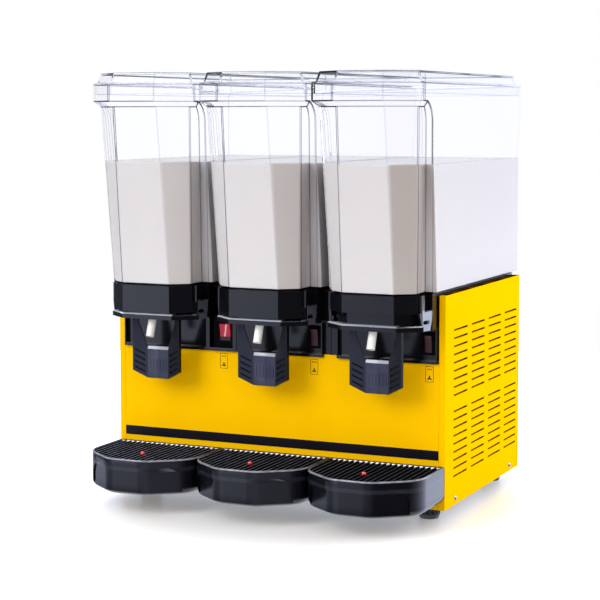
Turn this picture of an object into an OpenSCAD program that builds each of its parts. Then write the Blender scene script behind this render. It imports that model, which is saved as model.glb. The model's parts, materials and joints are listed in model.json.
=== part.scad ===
// Countertop cold drink dispenser: three clear bowls on a sheet metal cabinet, each with its own
// cooling cylinder, magnet driven paddle, sprung tap lever, rocker switch and drip tray.
// Millimetres. X runs across the front, Y runs to the rear, Z runs up. The feet stand on z = 0.

/* [Cabinet] */
// Distance between the centre lines of neighbouring bowls
unit_pitch = 190; // [188:1:205]
// Depth of the cabinet from front panel to rear panel
cabinet_d = 378; // [370:1:420]
// Height of the cabinet without its feet
cabinet_h = 331; // [328:1:350]
// Thickness of the sheet metal
sheet_t = 1.2; // [0.8:0.1:1.5]
// Width of the front and top flanges of the side panels
flange_w = 10; // [8:0.5:14]
// Gap between neighbouring sheet metal edges
sheet_gap = 0.3; // [0.2:0.05:0.5]
// Height of the upturned edge of the base pan
pan_edge_h = 18; // [16:1:30]
// Bottom edge of the black trim strip above the cabinet's underside
trim_z = 77; // [74:1:90]
// Height of the trim strip
trim_h = 15; // [8:1:25]
// Thickness of the trim strip
trim_t = 0.6; // [0.4:0.1:1]

/* [Feet and screws] */
// Height of the feet
foot_h = 21; // [15:1:30]
// Diameter of the feet
foot_d = 35; // [28:1:42]
// Distance of a foot's centre from the cabinet's side
foot_inset_x = 38; // [30:1:60]
// Distance of a foot's centre from the cabinet's front or rear
foot_inset_y = 36; // [30:1:60]
// Number of finger flutes round a foot
foot_flutes = 14; // [8:1:20]
// Diameter of the stud on a foot
stud_d = 8; // [6:0.5:10]
// Diameter of a screw's shank
screw_d = 4; // [3:0.5:5]
// Diameter of a screw's head
screw_head_d = 8; // [7:0.5:10]
// Height of the side screws above the cabinet's underside
screw_z = 10; // [9:0.5:14]
// Distance of the side screws from the cabinet's front or rear
screw_inset_y = 50; // [45:1:60]

/* [Louvres] */
// Number of louvre columns on a side panel
louvre_columns = 4; // [2:1:4]
// Number of louvre rows in each of the two groups
louvre_rows = 9; // [4:1:9]
// Gap between louvre columns
louvre_gap = 20.5; // [16:0.5:26]
// Distance between louvre rows
louvre_pitch_z = 12.7; // [11:0.1:13]
// Height of a louvre's slit
louvre_slit = 3.6; // [3:0.1:6]
// Start of the first louvre column behind the cabinet's front
louvre_y = 39.5; // [30:0.5:45]
// Distance of the last louvre column's end before the cabinet's rear
louvre_rear = 17; // [15:0.5:30]
// Height of the lowest louvre row
louvre_z = 43.5; // [35:0.5:60]

/* [Bowls] */
// Height of a bowl
bowl_h = 318; // [290:1:330]
// Wall thickness of a bowl
bowl_wall = 3; // [2.5:0.1:4]
// Floor thickness of a bowl
bowl_floor_t = 3.5; // [3:0.1:5]
// Gap between the rims of neighbouring bowls
rim_gap = 7; // [4:0.5:12]
// Height of the rim band
rim_h = 26.5; // [20:0.5:35]
// Height of the sloping shelf under the rim band
shelf_h = 8.5; // [6:0.5:12]
// How far a bowl narrows on each side from rim to floor
side_taper = 9; // [6:0.5:12]
// How far the rim stands out behind the cabinet
rear_overhang = 12; // [4:0.5:16]
// Reach of the prow before the cabinet at the floor
low_reach = 82; // [78:1:90]
// Reach of the prow before the cabinet under the rim
high_reach = 114; // [108:1:120]
// Reach of the rim before the cabinet
rim_reach = 126; // [123:1:132]
// Width of the front facet at the floor
low_facet_w = 84; // [76:1:92]
// Width of the front facet under the rim
high_facet_w = 77; // [70:1:84]
// Width of the front facet on the rim
rim_facet_w = 81.5; // [75:0.5:88]
// How far the prow's side lies inside the rim's side at the floor
low_set = 20.5; // [18:0.5:24]
// How far the prow's side lies inside the rim's side under the rim
high_set = 11; // [8:0.5:14]
// Angle of the slanted facets to the front
facet_slope = 39; // [36:0.5:42]
// Distance of the side niche's rear edge before the cabinet at the floor
niche_low_y = 24; // [20:1:28]
// Distance of the side niche's rear edge before the cabinet at its arch
niche_high_y = 48; // [44:1:54]
// Radius of the arch on top of the side niche
niche_r = 35; // [25:1:38]

/* [Lids] */
// Wall thickness of a lid
lid_t = 2.5; // [2:0.1:3]
// Height of a lid above the rim
lid_rise = 18; // [12:0.5:24]
// Depth of the skirt that drops into the rim
lid_skirt_h = 16; // [10:0.5:20]
// Clearance between the skirt and the rim
lid_gap = 0.8; // [0.5:0.1:1.2]
// Width of the lid's flat shoulder on the rim
lid_shoulder = 6; // [4:0.5:8]
// Distance of the lid's raised top inside the rim
lid_slant = 11; // [10:0.5:18]

/* [Bowl seats] */
// Thickness of the seat plate on the deck
seat_t = 4; // [3:0.5:6]
// Thickness of the seat's roof under the prow
roof_t = 5; // [4:0.5:6]
// Distance from the bowl floor down to the seat's lower lip
seat_drop = 54; // [50:1:60]
// Height of the lower lip
lip_h = 9; // [6:0.5:12]
// Height of the seat's skirt on each unit, left to right
skirt_h = [42, 42, 27]; // [20:1:42]
// How far the neck lies behind the skirt
neck_in = 11; // [8:0.5:12]
// How far the lip lies behind the skirt
lip_in = 3; // [1:0.5:5]
// How much wider the lip's front facet is than the skirt's, on each side
lip_wide = 2.5; // [0:0.5:4]
// How far the lip reaches out past the skirt's sides
lip_out = 7; // [3:0.5:8]
// Chamfer along the lip's upper edge
lip_chamfer = 2; // [1:0.5:3]
// Wall thickness of the seat
seat_wall = 2.5; // [2:0.1:3]

/* [Taps] */
// Distance of the lever's pad before the cabinet
pad_y = 43; // [40:0.5:46]
// Height of the pad's lower edge above the cabinet's underside
pad_z = 181; // [170:1:190]
// Height of the pad
pad_h = 47; // [40:1:52]
// Width of the pad
pad_w = 37; // [32:1:42]
// Width of the lever over both wings
lever_w = 85; // [78:0.5:88]
// Width of an arm at its top
arm_w = 10; // [8:0.5:12]
// Angle at which the wings come forward
wing_angle = 16; // [10:0.5:20]
// How far the lower edge rises along a wing
wing_rise = 12.5; // [8:0.5:16]
// Thickness of the lever's plates
lever_t = 5; // [4:0.1:6]
// Distance of the lever's pin before the cabinet
pin_y = 36; // [34:0.5:38]
// Height of the lever's pin below the bowl floor
pin_drop = 32; // [30:0.5:34]
// Diameter of the lever's pin
pin_d = 6; // [5:0.5:7]
// Radial running clearance of pins and shafts
run_gap = 0.05; // [0.03:0.01:0.08]
// Distance of the spout before the cabinet where it leaves the bowl
spout_y = 57; // [55:0.5:58]
// Outer diameter of the spout tube
spout_d = 13; // [11:0.5:14]
// Wall of the spout tube
spout_wall = 2; // [1.5:0.1:2.5]
// Length of the leaning end of the spout tube
spout_l = 35; // [28:1:38]
// Angle at which the spout tube leans forward
spout_lean = 20; // [15:1:25]

/* [Switches] */
// Width of a switch panel's frame
panel_w = 166; // [160:1:170]
// Lower edge of the switch panel above the cabinet's underside
panel_z = 226; // [222:1:230]
// How far the panel's frame stands before the cabinet
panel_proud = 6; // [4:0.5:8]
// Width of the panel's frame bars
panel_bar = 5; // [4:0.5:6]
// Thickness of the panel's plate
panel_t = 3; // [2:0.5:4]
// Height of the sheet metal tabs between two panels
tab_h = 4.5; // [2:0.5:8]
// How far the main switch's bay reaches past the left panel's frame
bay_reach = 40; // [38:1:44]
// Width of the bars beside the main switch's bay
bay_bar = 7; // [5:0.5:9]
// Distance of each switch from its unit's centre line, left to right
switch_x = [101, 68, 68]; // [60:0.5:102]
// Height of a switch's centre above the panel's lower edge
switch_z = 31; // [28:0.5:32]
// Width of each switch's bezel, left to right
bezel_w = [25, 23, 23]; // [20:0.5:30]
// Height of a switch's bezel
bezel_h = 36; // [33:0.5:37]
// Width of each rocker, left to right
rocker_w = [18, 11, 11]; // [9:0.5:22]
// Height of a rocker
rocker_h = 26.6; // [24:0.2:28]
// Tilt of a rocker to either side
rocker_tilt = 8; // [5:1:10]

/* [Drip trays] */
// Reach of a tray before the cabinet
tray_reach = 150; // [145:1:155]
// Height of a tray's underside above the cabinet's underside
tray_z = 11; // [9:1:16]
// Height of a tray
tray_h = 57; // [52:1:59]
// Gap between neighbouring trays
tray_gap = 1; // [0.6:0.1:2]
// Width of a tray's front facet
tray_facet_w = 66; // [60:1:76]
// Angle of a tray's slanted facets to its front
tray_slope = 37; // [34:1:40]
// Radius of a tray's side corners
tray_corner_r = 52; // [36:1:56]
// Radius of a tray's front corners
tray_front_r = 44; // [24:1:50]
// Radius of a tray's lower edge
tray_round = 12; // [6:0.5:13]
// Wall thickness of a tray
tray_wall = 2.5; // [2:0.1:3]
// Height of a tray's rim band
tray_rim_h = 12.5; // [11:0.5:16]
// Height of the cove between a tray's rim band and its panel
tray_cove_h = 8; // [5:0.5:10]
// Depth of the arched panel moulded into a tray's front
tray_set = 2.4; // [1.5:0.1:3]
// Thickness of the drip grid
grid_t = 5.5; // [4:0.5:6.5]
// Distance between the bars of the drip grid
grid_pitch = 9.1; // [8:0.1:11]
// Width of a bar of the drip grid
grid_bar = 3.6; // [3:0.1:4.5]
// Distance of the level float before the cabinet
float_y = 95; // [90:1:104]
// Diameter of the float's stem
float_d = 8; // [7:0.5:9]
// How far the float's tip stands above the tray's rim
float_proud = 3; // [2:0.5:6]

/* [Cooling and mixing] */
// Distance of the cooling cylinders behind the cabinet's front
cylinder_y = 150; // [140:1:160]
// Diameter of a cooling cylinder
cylinder_d = 96; // [88:1:98]
// Height of a cooling cylinder above the deck
cylinder_h = 172; // [150:1:180]
// Wall of a cooling cylinder
cylinder_wall = 1.5; // [1.2:0.1:2]
// Thickness of the gasket under a bowl
gasket_t = 2.5; // [2:0.1:2.8]
// Thickness of a paddle's blades across the radius
blade_t = 7; // [5:0.5:8]
// Gap between the paddle's blades and the cylinder
blade_gap = 3; // [2:0.5:4]
// Height of a mixer motor
motor_h = 60; // [50:1:70]
// Diameter of a mixer motor
motor_d = 64; // [56:1:70]
// Diameter of a mixer's drive shaft
shaft_d = 8; // [6:0.5:10]
// Diameter of the compressor's shell
compressor_d = 124; // [110:1:130]
// Height of the compressor's shell
compressor_h = 150; // [130:1:170]
// Diameter of the condenser fan
fan_d = 140; // [120:1:145]
// Number of fan blades
fan_blades = 5; // [3:1:7]
// Number of condenser fins
fins = 26; // [16:1:30]

/* [Hidden] */
$fn = 64;
far = 400;
sides = ["left", "middle", "right"];
unit_parts = ["bowl", "bowl_lid", "bowl_seat", "cooling_cylinder", "mixing_paddle", "drive_magnet",
    "tap_lever", "spout_tube", "switch_panel", "switch_rocker", "drip_tray", "drip_grid", "level_float"];
shared_parts = ["mixer_motors", "evaporator_coils", "bowl_gaskets", "lever_pins", "lever_springs",
    "switch_bodies", "screws", "feet"];
cabinet_parts = ["base_pan", "front_panel", "left_side_panel", "right_side_panel", "rear_panel",
    "top_deck", "trim_strip", "compressor", "condenser", "fan_rotor", "fan_motor", "cord_inlet"];

cabinet_w = len(sides) * unit_pitch;
half_w = cabinet_w / 2;
half_pitch = unit_pitch / 2;
rim_rear = cabinet_d + rear_overhang;
front_y = (tray_reach - rim_rear) / 2;
deck_z = cabinet_h - sheet_t;
group_rows = louvre_rows + 1;
louvre_pitch_y = (cabinet_d - louvre_y - louvre_rear + louvre_gap) / louvre_columns;
louvre_l = louvre_pitch_y - louvre_gap;
lip_in_x = 4;
lip_edge = 0.6;
lip_trim = 0.4;

// Heights of the bowls
floor_z = cabinet_h + seat_t;
floor_top_z = floor_z + bowl_floor_t;
rim_top_z = floor_z + bowl_h;
band_z = rim_top_z - rim_h;
shelf_z = band_z - shelf_h;
lid_top_z = rim_top_z + lid_rise;
rim_half = half_pitch - rim_gap / 2;

// Prow outlines: front y, half width of the front facet, half width of the sides, rear y, facet slope
low_prow = [-low_reach, low_facet_w / 2, rim_half - low_set, niche_low_y, facet_slope];
high_prow = [-high_reach, high_facet_w / 2, rim_half - high_set, niche_low_y, facet_slope];
rim = [-rim_reach, rim_facet_w / 2, rim_half, rim_rear, facet_slope];

// Bowl seats
lip_z = floor_z - seat_drop;
roof_z = floor_z - roof_t;
seat_clear = 0.5;
seat_rear = -panel_proud - seat_clear;
seat_hollow = neck_in + seat_wall;
seat_half = rim_half - side_taper;
seat_plan = [-low_reach, low_facet_w / 2, rim_half - low_set, seat_rear, facet_slope];
lip_end = 3;
lip_sides = [-low_reach + lip_in, low_facet_w / 2 + lip_wide, rim_half - low_set + lip_out, 0, facet_slope];
lip_plan = with_rear(lip_sides, corner_y(lip_sides) + lip_end);
spigot_d = 14;
spigot_gap = 0.3;
spigot_l = 14;
cuff_l = 16;
cuff_wall = 2.7;

// Latch lugs and ribs beside the prow of a bowl seat
rib_out = 5;
rib_w = 13;
rib_y = 53;
niche_rib_d = 3;
lug_t = 3.5;
lug_high = 30;
lug_out = 3;
lug_y = 57;
lug_turn = 14.5;
lug_l = 36;
lug_rise = 2;
lug_low_front = 8;
lug_low_rear = 28;
lug_slot_w = 6;
lug_slot_l = 17;
lug_slot_z = 13;

// Tap levers
pin_z = floor_z - pin_drop;
eye_r = pin_d / 2 + 4;
ear_t = 4;
ear_gap = 2.5;
ear_x = lever_w / 2 + ear_gap;
pin_half = ear_x + ear_t + 0.5;
pinch_gap = 0.4;
pinch_t = 4;
pinch_h = 7;
pinch_y = -spout_y + spout_d / 2 + pinch_gap;
pinch_z = lip_z + 3;
bend_z = lip_z + 4;
arm_top_z = lip_z + 12;
arm_drop = 10;
arm_set = 2;
head_w = arm_w - 1.5;
ledge_d = 2.2;
ledge_h = 4.7;
grooves = 4;
groove_w = 3;
groove_d = 1.8;
groove_edge = 4;
grips = 6;
grip_w = 2.4;
grip_h = 17;
grip_d = 0.8;
grip_z = 14;
spring_l = 28;
spring_t = 2;
spring_gap = 0.3;

// Switches
switch_cz = panel_z + switch_z;
plate_y = sheet_t + 0.8;
bezel_t = 2.5;
body_depth = 28;
body_set = 2;
rocker_gap = 0.5;
rocker_swing_gap = 1.4;
rocker_pin_d = 3;
rocker_pin_l = 1;
rocker_nose = bezel_t + 1.5;
rocker_cup = 1.5;
rocker_root = 5;
well_depth = 12;
hole_gap = 0.6;
plate_drop = 3;
bay_w = 55;

// Drip trays
tray_top_z = tray_z + tray_h;
tray_half = half_pitch - tray_gap / 2;
tray_clear = 0.5;
tray_plan = [-tray_reach, tray_facet_w / 2, tray_half, -tray_clear, tray_slope];
grid_gap = 0.5;
grid_seat = 3.5;
grid_drop = 1;
grid_z = tray_top_z - grid_t - grid_drop;
grid_border = 4;
grid_slope_d = 2.8;
grid_slope_h = 4.8;
cross_set = 2;
cross_pitch = 32;
float_eye_t = 3;
tray_edge_d = 1.3;
tray_edge_h = 2.2;
tray_panel_over = 0.2;
tray_panel_edge = 14;
tray_panel_r = 22;
tongue_x = 50;
tongue_w = 28;
tongue_t = 3;
tongue_l = 12;
tongue_z = tray_z + tray_h / 2;
tongue_gap = 0.5;
float_disc_d = 24;
float_disc_h = 8;
float_hole_gap = 1;
float_rest = 0.3;
round_steps = 4;

// Cooling and mixing
cylinder_r = cylinder_d / 2;
cylinder_top_z = cabinet_h + cylinder_h;
coil_t = 3.5;
flange_t = seat_t - gasket_t;
paddle_r = cylinder_r + blade_gap + blade_t;
bowl_hole_r = paddle_r + 2;
gasket_r = bowl_hole_r + 4;
flange_r = gasket_r + 1;
pivot_r = 5;
pivot_h = 12;
paddle_clear = 1;
magnet_r = cylinder_r - 16;
magnet_h = 12;
magnet_gap = 3;
motor_top_z = deck_z;
motor_flange_t = 6;
motor_flange_w = 8;
motor_end_t = 11.7;
shaft_end_gap = 0.3;
coil_low = 14;
coil_short = 50;
coil_gap = 0.3;
gasket_gap = 0.5;
deck_hole_r = 20;
hub_r = 16;
arm_h = 8;
blade_w = 14;
blade_rise = 8;

// Compressor, condenser and fan
compressor_y = cabinet_d * 0.6;
mount_h = 8;
mount_d = 16;
plate_t = 3;
plate_edge = 12;
dome_h = 40;
box_x = [-6, 14];
box_half = 22;
box_low = 35;
box_high = 85;
condenser_set = 45;
condenser_edge = 20;
condenser_low = 24;
core_half = 5;
fin_d = 34;
fin_t = 1.2;
leg_half_x = 8;
leg_half_y = 12;
fan_set = 86;
fan_low = 30;
fan_x = half_w / 2;
fan_y = cabinet_d - fan_set;
fan_z = fan_d / 2 + fan_low;
fan_hub_r = 18;
fan_hub_h = 18;
fan_shaft_r = 3;
blade_pitch = 28;
fan_blade_w = 34;
fan_blade_t = 2;
can_r = 26;
can_l = 42;
can_gap = 8;
stand_half = 9;
stand_foot = 24;

// Rear of the cabinet
rear_screw_z = 25;
screw_l = 8;
head_edge = 0.6;
head_dome = 1.8;
vent_l = 60;
vent_h = 5;
vent_pitch = 10;
vent_gap = 8;
vent_rows = 12;
vent_z = 45;
inlet_r = 8;
inlet_x = 70;
inlet_z = 40;
inlet_l = 16;
inlet_in = 10;
inlet_rim = 4;
inlet_bore_r = 4;

// Feet
foot_cone = 0.35;
foot_taper = 6;
flute_d = 5;
stud_l = 8;

function unit_x(u) = (u - 1) * unit_pitch;
function corner_y(p) = p[0] + (p[2] - p[1]) * tan(p[4]);
function inset(p, d) = [p[0] + d, p[1] - d * tan(p[4] / 2), p[2] - d, p[3] - d, p[4]];
function with_rear(p, rear) = [p[0], p[1], p[2], rear, p[4]];
function between(p, q, t) = p + (q - p) * t;
function prow_points(p) = [[-p[1], p[0]], [p[1], p[0]], [p[2], corner_y(p)], [p[2], p[3]],
    [-p[2], p[3]], [-p[2], corner_y(p)]];
function box_points(half, front, rear) = [[-half, front], [half, front], [half, rear], [-half, rear]];
function unit_vector(v) = v / norm(v);
// Edges of a switch panel's frame and plate from its unit's centre line
function frame_right(u) = panel_w / 2 + (u == 0 ? bay_reach : 0);
function frame_left(u) = u == 0 ? panel_w / 2
    : min(panel_w / 2, unit_pitch - frame_right(u - 1) - sheet_gap);
function plate_right(u) = u == len(sides) - 1 ? frame_right(u)
    : max(frame_right(u), half_pitch - sheet_gap / 2);
function plate_left(u) = u == 0 ? frame_left(u) : unit_pitch - plate_right(u - 1) - sheet_gap;
function grip_x(k) = (k - (grips - 1) / 2) * (pad_w - grip_w) / grips;

// Corner i of an outline as an arc of radius r, or the corner itself where r is 0
function arc_corner(pts, i, r, steps = 6) =
    let (n = len(pts), p = pts[i])
    let (a = unit_vector(pts[(i + n - 1) % n] - p), b = unit_vector(pts[(i + 1) % n] - p))
    let (half = acos(a * b) / 2, mid = unit_vector(a + b), centre = p + mid * r / sin(half))
    r == 0 ? [p] : [for (k = [0 : steps])
        let (turn = (90 - half) * (2 * k / steps - 1), side = unit_vector(b - a))
        centre + r * (-mid * cos(turn) + side * sin(turn))];
function rounded(pts, radii) = [for (i = [0 : len(pts) - 1]) each arc_corner(pts, i, radii[i])];

// Outline of a tray moved inwards by d, with its rear edge at rear
function tray_outline(d, rear) = rounded(prow_points(with_rear(inset(tray_plan, d), rear)),
    [tray_front_r - d, tray_front_r - d, tray_corner_r - d, 0, 0, tray_corner_r - d]);
function round_in(k) = tray_round * (1 - sin(90 * k / round_steps));
function round_up(k) = tray_round * (1 - cos(90 * k / round_steps));

module at_cabinet() translate([0, front_y, foot_h]) children();
module at_unit(u) translate([unit_x(u), front_y, foot_h]) children();
module each_unit() for (u = [0 : len(sides) - 1]) translate([unit_x(u), 0, 0]) children();
module both_sides() {
    children();
    mirror([1, 0, 0]) children();
}

// A solid with flat faces between two outlines of as many points
module loft(a, za, b, zb) {
    n = len(a);
    points = concat([for (p = a) [p[0], p[1], za]], [for (p = b) [p[0], p[1], zb]]);
    walls = [for (i = [0 : n - 1]) [i, i + n, (i + 1) % n + n, (i + 1) % n]];
    polyhedron(points, concat([[for (i = [0 : n - 1]) i]], [[for (i = [0 : n - 1]) 2 * n - 1 - i]], walls));
}
module slab(points, z, h) translate([0, 0, z]) linear_extrude(h) polygon(points);
module block(x, y, z) translate([x[0], y[0], z[0]]) cube([x[1] - x[0], y[1] - y[0], z[1] - z[0]]);
module across(x0, w) translate([x0, 0, 0]) rotate([90, 0, 90]) linear_extrude(w) children();
module rod_x(x, y, z, r, l) translate([x, y, z]) rotate([0, 90, 0]) cylinder(r = r, h = l);
module rod_y(x, y, z, r, l) translate([x, y, z]) rotate([-90, 0, 0]) cylinder(r = r, h = l);

// Side niche of a bowl behind its prow, with an arched top; d moves it to the inner wall
module niche(d) {
    arch_z = band_z - niche_r;
    arch_y = -niche_high_y - niche_r;
    across(-far / 2, far) polygon(concat(
        [[-far, floor_z - 1], [-niche_low_y + d, floor_z - 1]],
        [for (t = [0 : 9 : 90]) [arch_y + (niche_r + d) * cos(t), arch_z + (niche_r + d) * sin(t)]],
        [[-far, band_z + d]]));
}

// The bowl's solid form: prow, wide rear with side niches, sloping shelf and rim band
module bowl_form(d, bottom, top) {
    rise = (bottom - floor_z) / (shelf_z - floor_z);
    side_rise = (bottom - floor_z) / (band_z - floor_z);
    rim_in = inset(rim, d);
    foot_half = seat_half + side_taper * side_rise - d;
    foot_rear = cabinet_d + rear_overhang * side_rise - d;
    wide_front = corner_y(rim);
    loft(prow_points(with_rear(inset(between(low_prow, high_prow, rise), d), niche_low_y)), bottom,
        prow_points(with_rear(inset(high_prow, d), niche_low_y)), shelf_z);
    difference() {
        loft(box_points(foot_half, wide_front, foot_rear), bottom,
            box_points(rim_half - d, wide_front, rim_rear - d), band_z);
        niche(d);
    }
    loft(prow_points(with_rear(inset(high_prow, d), niche_low_y)), shelf_z,
        prow_points(with_rear(rim_in, niche_low_y)), band_z);
    slab(prow_points(rim_in), band_z, top - band_z);
}

module bowl() color([0.85, 0.9, 0.95, 0.4]) difference() {
    union() {
        difference() {
            bowl_form(0, floor_z, rim_top_z);
            bowl_form(bowl_wall, floor_top_z, rim_top_z + 1);
        }
        translate([0, -spout_y, floor_z - spigot_l]) cylinder(d = spigot_d, h = spigot_l + 1);
    }
    translate([0, cylinder_y, floor_z - 1]) cylinder(r = bowl_hole_r, h = bowl_floor_t + 2);
    translate([0, -spout_y, floor_z - 2 * spigot_l])
        cylinder(d = spout_d - 2 * spout_wall, h = 2 * spigot_l + bowl_floor_t + 1);
}

module bowl_lid() color([0.85, 0.9, 0.95, 0.4]) {
    skirt = inset(rim, bowl_wall + lid_gap);
    top_t = rim_top_z + lid_t;
    difference() {
        union() {
            slab(prow_points(rim), rim_top_z, lid_t);
            loft(prow_points(inset(rim, lid_shoulder)), top_t, prow_points(inset(rim, lid_slant)), lid_top_z);
            slab(prow_points(skirt), rim_top_z - lid_skirt_h, lid_skirt_h);
        }
        slab(prow_points(inset(skirt, lid_t)), rim_top_z - lid_skirt_h - 1, lid_skirt_h + 1);
        loft(prow_points(inset(rim, lid_shoulder + lid_t)), rim_top_z,
            prow_points(inset(rim, lid_slant + lid_t)), lid_top_z - lid_t);
    }
}

// Ribs and the slotted lug, a plate turned outwards to the rear, in the niche beside the prow
module seat_lug() {
    side_x = rim_half - low_set;
    lug_top = lip_z + lug_high;
    rear = -niche_low_y + 1;
    block([side_x - 1, side_x + rib_out], [-rib_y, -rib_y + rib_w], [lug_top - lug_t, floor_z]);
    block([side_x - 1, seat_half], [rear - niche_rib_d, rear], [lug_top - lug_t, lug_top]);
    translate([side_x + lug_out, -lug_y, 0]) rotate([0, 0, -lug_turn]) across(-lug_t, lug_t) difference() {
        polygon([[0, lug_top - lug_rise], [lug_low_front, lip_z], [lug_low_rear, lip_z], [lug_l, lug_top]]);
        translate([(lug_low_front + lug_low_rear) / 2, lip_z + lug_slot_z]) rotate(90)
            slot(lug_slot_l, lug_slot_w);
    }
}

// A slot along Y with round ends
module slot(l, w) {
    square([w, l - w], center = true);
    for (e = [-1, 1]) translate([0, e * (l - w) / 2]) circle(d = w);
}

module bowl_seat(u) color([0.12, 0.12, 0.14]) {
    step_z = floor_z - skirt_h[u];
    difference() {
        union() {
            slab(prow_points(seat_plan), step_z, skirt_h[u]);
            slab(prow_points(with_rear(inset(seat_plan, neck_in), seat_rear)), lip_z, step_z - lip_z + 1);
            slab(prow_points(lip_plan), lip_z, lip_h - lip_chamfer);
            loft(prow_points(lip_plan), lip_z + lip_h - lip_chamfer,
                prow_points(with_rear(inset(lip_plan, lip_chamfer), lip_plan[3])), lip_z + lip_h);
            block([-seat_half, seat_half], [-niche_low_y, seat_rear], [lip_z, floor_z]);
            block([-seat_half, seat_half], [seat_rear - 1, cabinet_d - 2], [cabinet_h, floor_z]);
            both_sides() seat_lug();
        }
        slab(prow_points(with_rear(inset(seat_plan, seat_hollow), 1)), lip_z - 1, roof_z - lip_z + 1);
        translate([0, -spout_y, roof_z - 1]) cylinder(r = spigot_d / 2 + spigot_gap, h = roof_t + 2);
        translate([0, cylinder_y, cabinet_h - 1]) cylinder(r = flange_r + seat_clear, h = seat_t + 2);
    }
    both_sides() difference() {
        block([ear_x, ear_x + ear_t], [-pin_y - eye_r, -pin_y + eye_r], [pin_z - eye_r, roof_z + 1]);
        rod_x(ear_x - 1, -pin_y, pin_z, pin_d / 2 + run_gap, ear_t + 2);
    }
}

module cooling_cylinder() color([0.75, 0.77, 0.8]) translate([0, cylinder_y, 0]) {
    difference() {
        union() {
            translate([0, 0, cabinet_h]) cylinder(r = flange_r, h = flange_t);
            translate([0, 0, cabinet_h]) cylinder(r = cylinder_r, h = cylinder_h);
        }
        translate([0, 0, cabinet_h - 1])
            cylinder(r = cylinder_r - cylinder_wall, h = cylinder_h - cylinder_wall + 1);
    }
    translate([0, 0, cylinder_top_z - 0.5]) cylinder(r = pivot_r, h = pivot_h + 0.5);
}

module mixing_paddle() color([0.95, 0.95, 0.95]) translate([0, cylinder_y, 0]) {
    hub_z = cylinder_top_z + paddle_clear;
    blade_low_z = floor_top_z + blade_rise;
    difference() {
        union() {
            translate([0, 0, hub_z]) cylinder(r = hub_r, h = pivot_h + 2);
            translate([-paddle_r + 1, -blade_w / 2, hub_z]) cube([2 * paddle_r - 2, blade_w, arm_h]);
            both_sides() intersection() {
                translate([0, -blade_w / 2, blade_low_z]) cube([far, blade_w, hub_z + arm_h - blade_low_z]);
                translate([0, 0, blade_low_z]) difference() {
                    cylinder(r = paddle_r, h = far);
                    translate([0, 0, -1]) cylinder(r = cylinder_r + blade_gap, h = far + 2);
                }
            }
        }
        translate([0, 0, hub_z - 1]) cylinder(r = pivot_r + run_gap, h = pivot_h + 1);
    }
}

module drive_magnet() color([0.35, 0.35, 0.38]) translate([0, cylinder_y, 0]) {
    magnet_z = cylinder_top_z - cylinder_wall - magnet_gap - magnet_h;
    shaft_z = motor_top_z - motor_h + motor_end_t + shaft_end_gap;
    translate([0, 0, magnet_z]) cylinder(r = magnet_r, h = magnet_h);
    translate([0, 0, shaft_z]) cylinder(d = shaft_d, h = magnet_z - shaft_z + 1);
}

module mixer_motors() color([0.6, 0.6, 0.62]) each_unit() translate([0, cylinder_y, 0]) difference() {
    union() {
        translate([0, 0, motor_top_z - motor_h]) cylinder(d = motor_d, h = motor_h);
        translate([0, 0, motor_top_z - motor_flange_t])
            cylinder(d = motor_d + 2 * motor_flange_w, h = motor_flange_t);
    }
    translate([0, 0, motor_top_z - motor_h + motor_end_t]) cylinder(r = shaft_d / 2 + run_gap, h = motor_h);
}

module evaporator_coils() color([0.72, 0.45, 0.3]) each_unit()
    translate([0, cylinder_y, cabinet_h + coil_low])
    difference() {
        cylinder(r = cylinder_r - cylinder_wall - coil_gap, h = cylinder_h - coil_short);
        translate([0, 0, -1]) cylinder(r = cylinder_r - cylinder_wall - coil_t, h = cylinder_h);
    }

module bowl_gaskets() color([0.25, 0.25, 0.25]) each_unit()
    translate([0, cylinder_y, cabinet_h + flange_t])
    difference() {
        cylinder(r = gasket_r, h = gasket_t);
        translate([0, 0, -1]) cylinder(r = cylinder_r + gasket_gap, h = gasket_t + 2);
    }

// One wing of the lever with its arm, hinged forward at the pad's edge, grooved along its lower edge
module lever_wing() {
    s = (lever_w - pad_w) / 2 / cos(wing_angle);
    rise = wing_rise / s;
    x0 = groove_edge;
    x1 = s - groove_edge;
    translate([pad_w / 2, -pad_y, 0]) rotate([0, 0, -wing_angle]) difference() {
        translate([0, lever_t, 0]) rotate([90, 0, 0]) linear_extrude(lever_t) polygon([[0, pad_z],
            [s, pad_z + wing_rise], [s, arm_top_z], [s - arm_w, arm_top_z], [s - arm_w, lip_z - arm_drop],
            [0, pad_z + pad_h]]);
        for (k = [1 : grooves])
            translate([0, groove_d, pad_z + k * pad_h / (grooves + 1) - groove_w]) rotate([90, 0, 0])
                linear_extrude(groove_d + 1) polygon([[x0, x0 * rise], [x1, x1 * rise],
                    [x1, x1 * rise + groove_w], [x0, x0 * rise + groove_w]]);
    }
}

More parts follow.
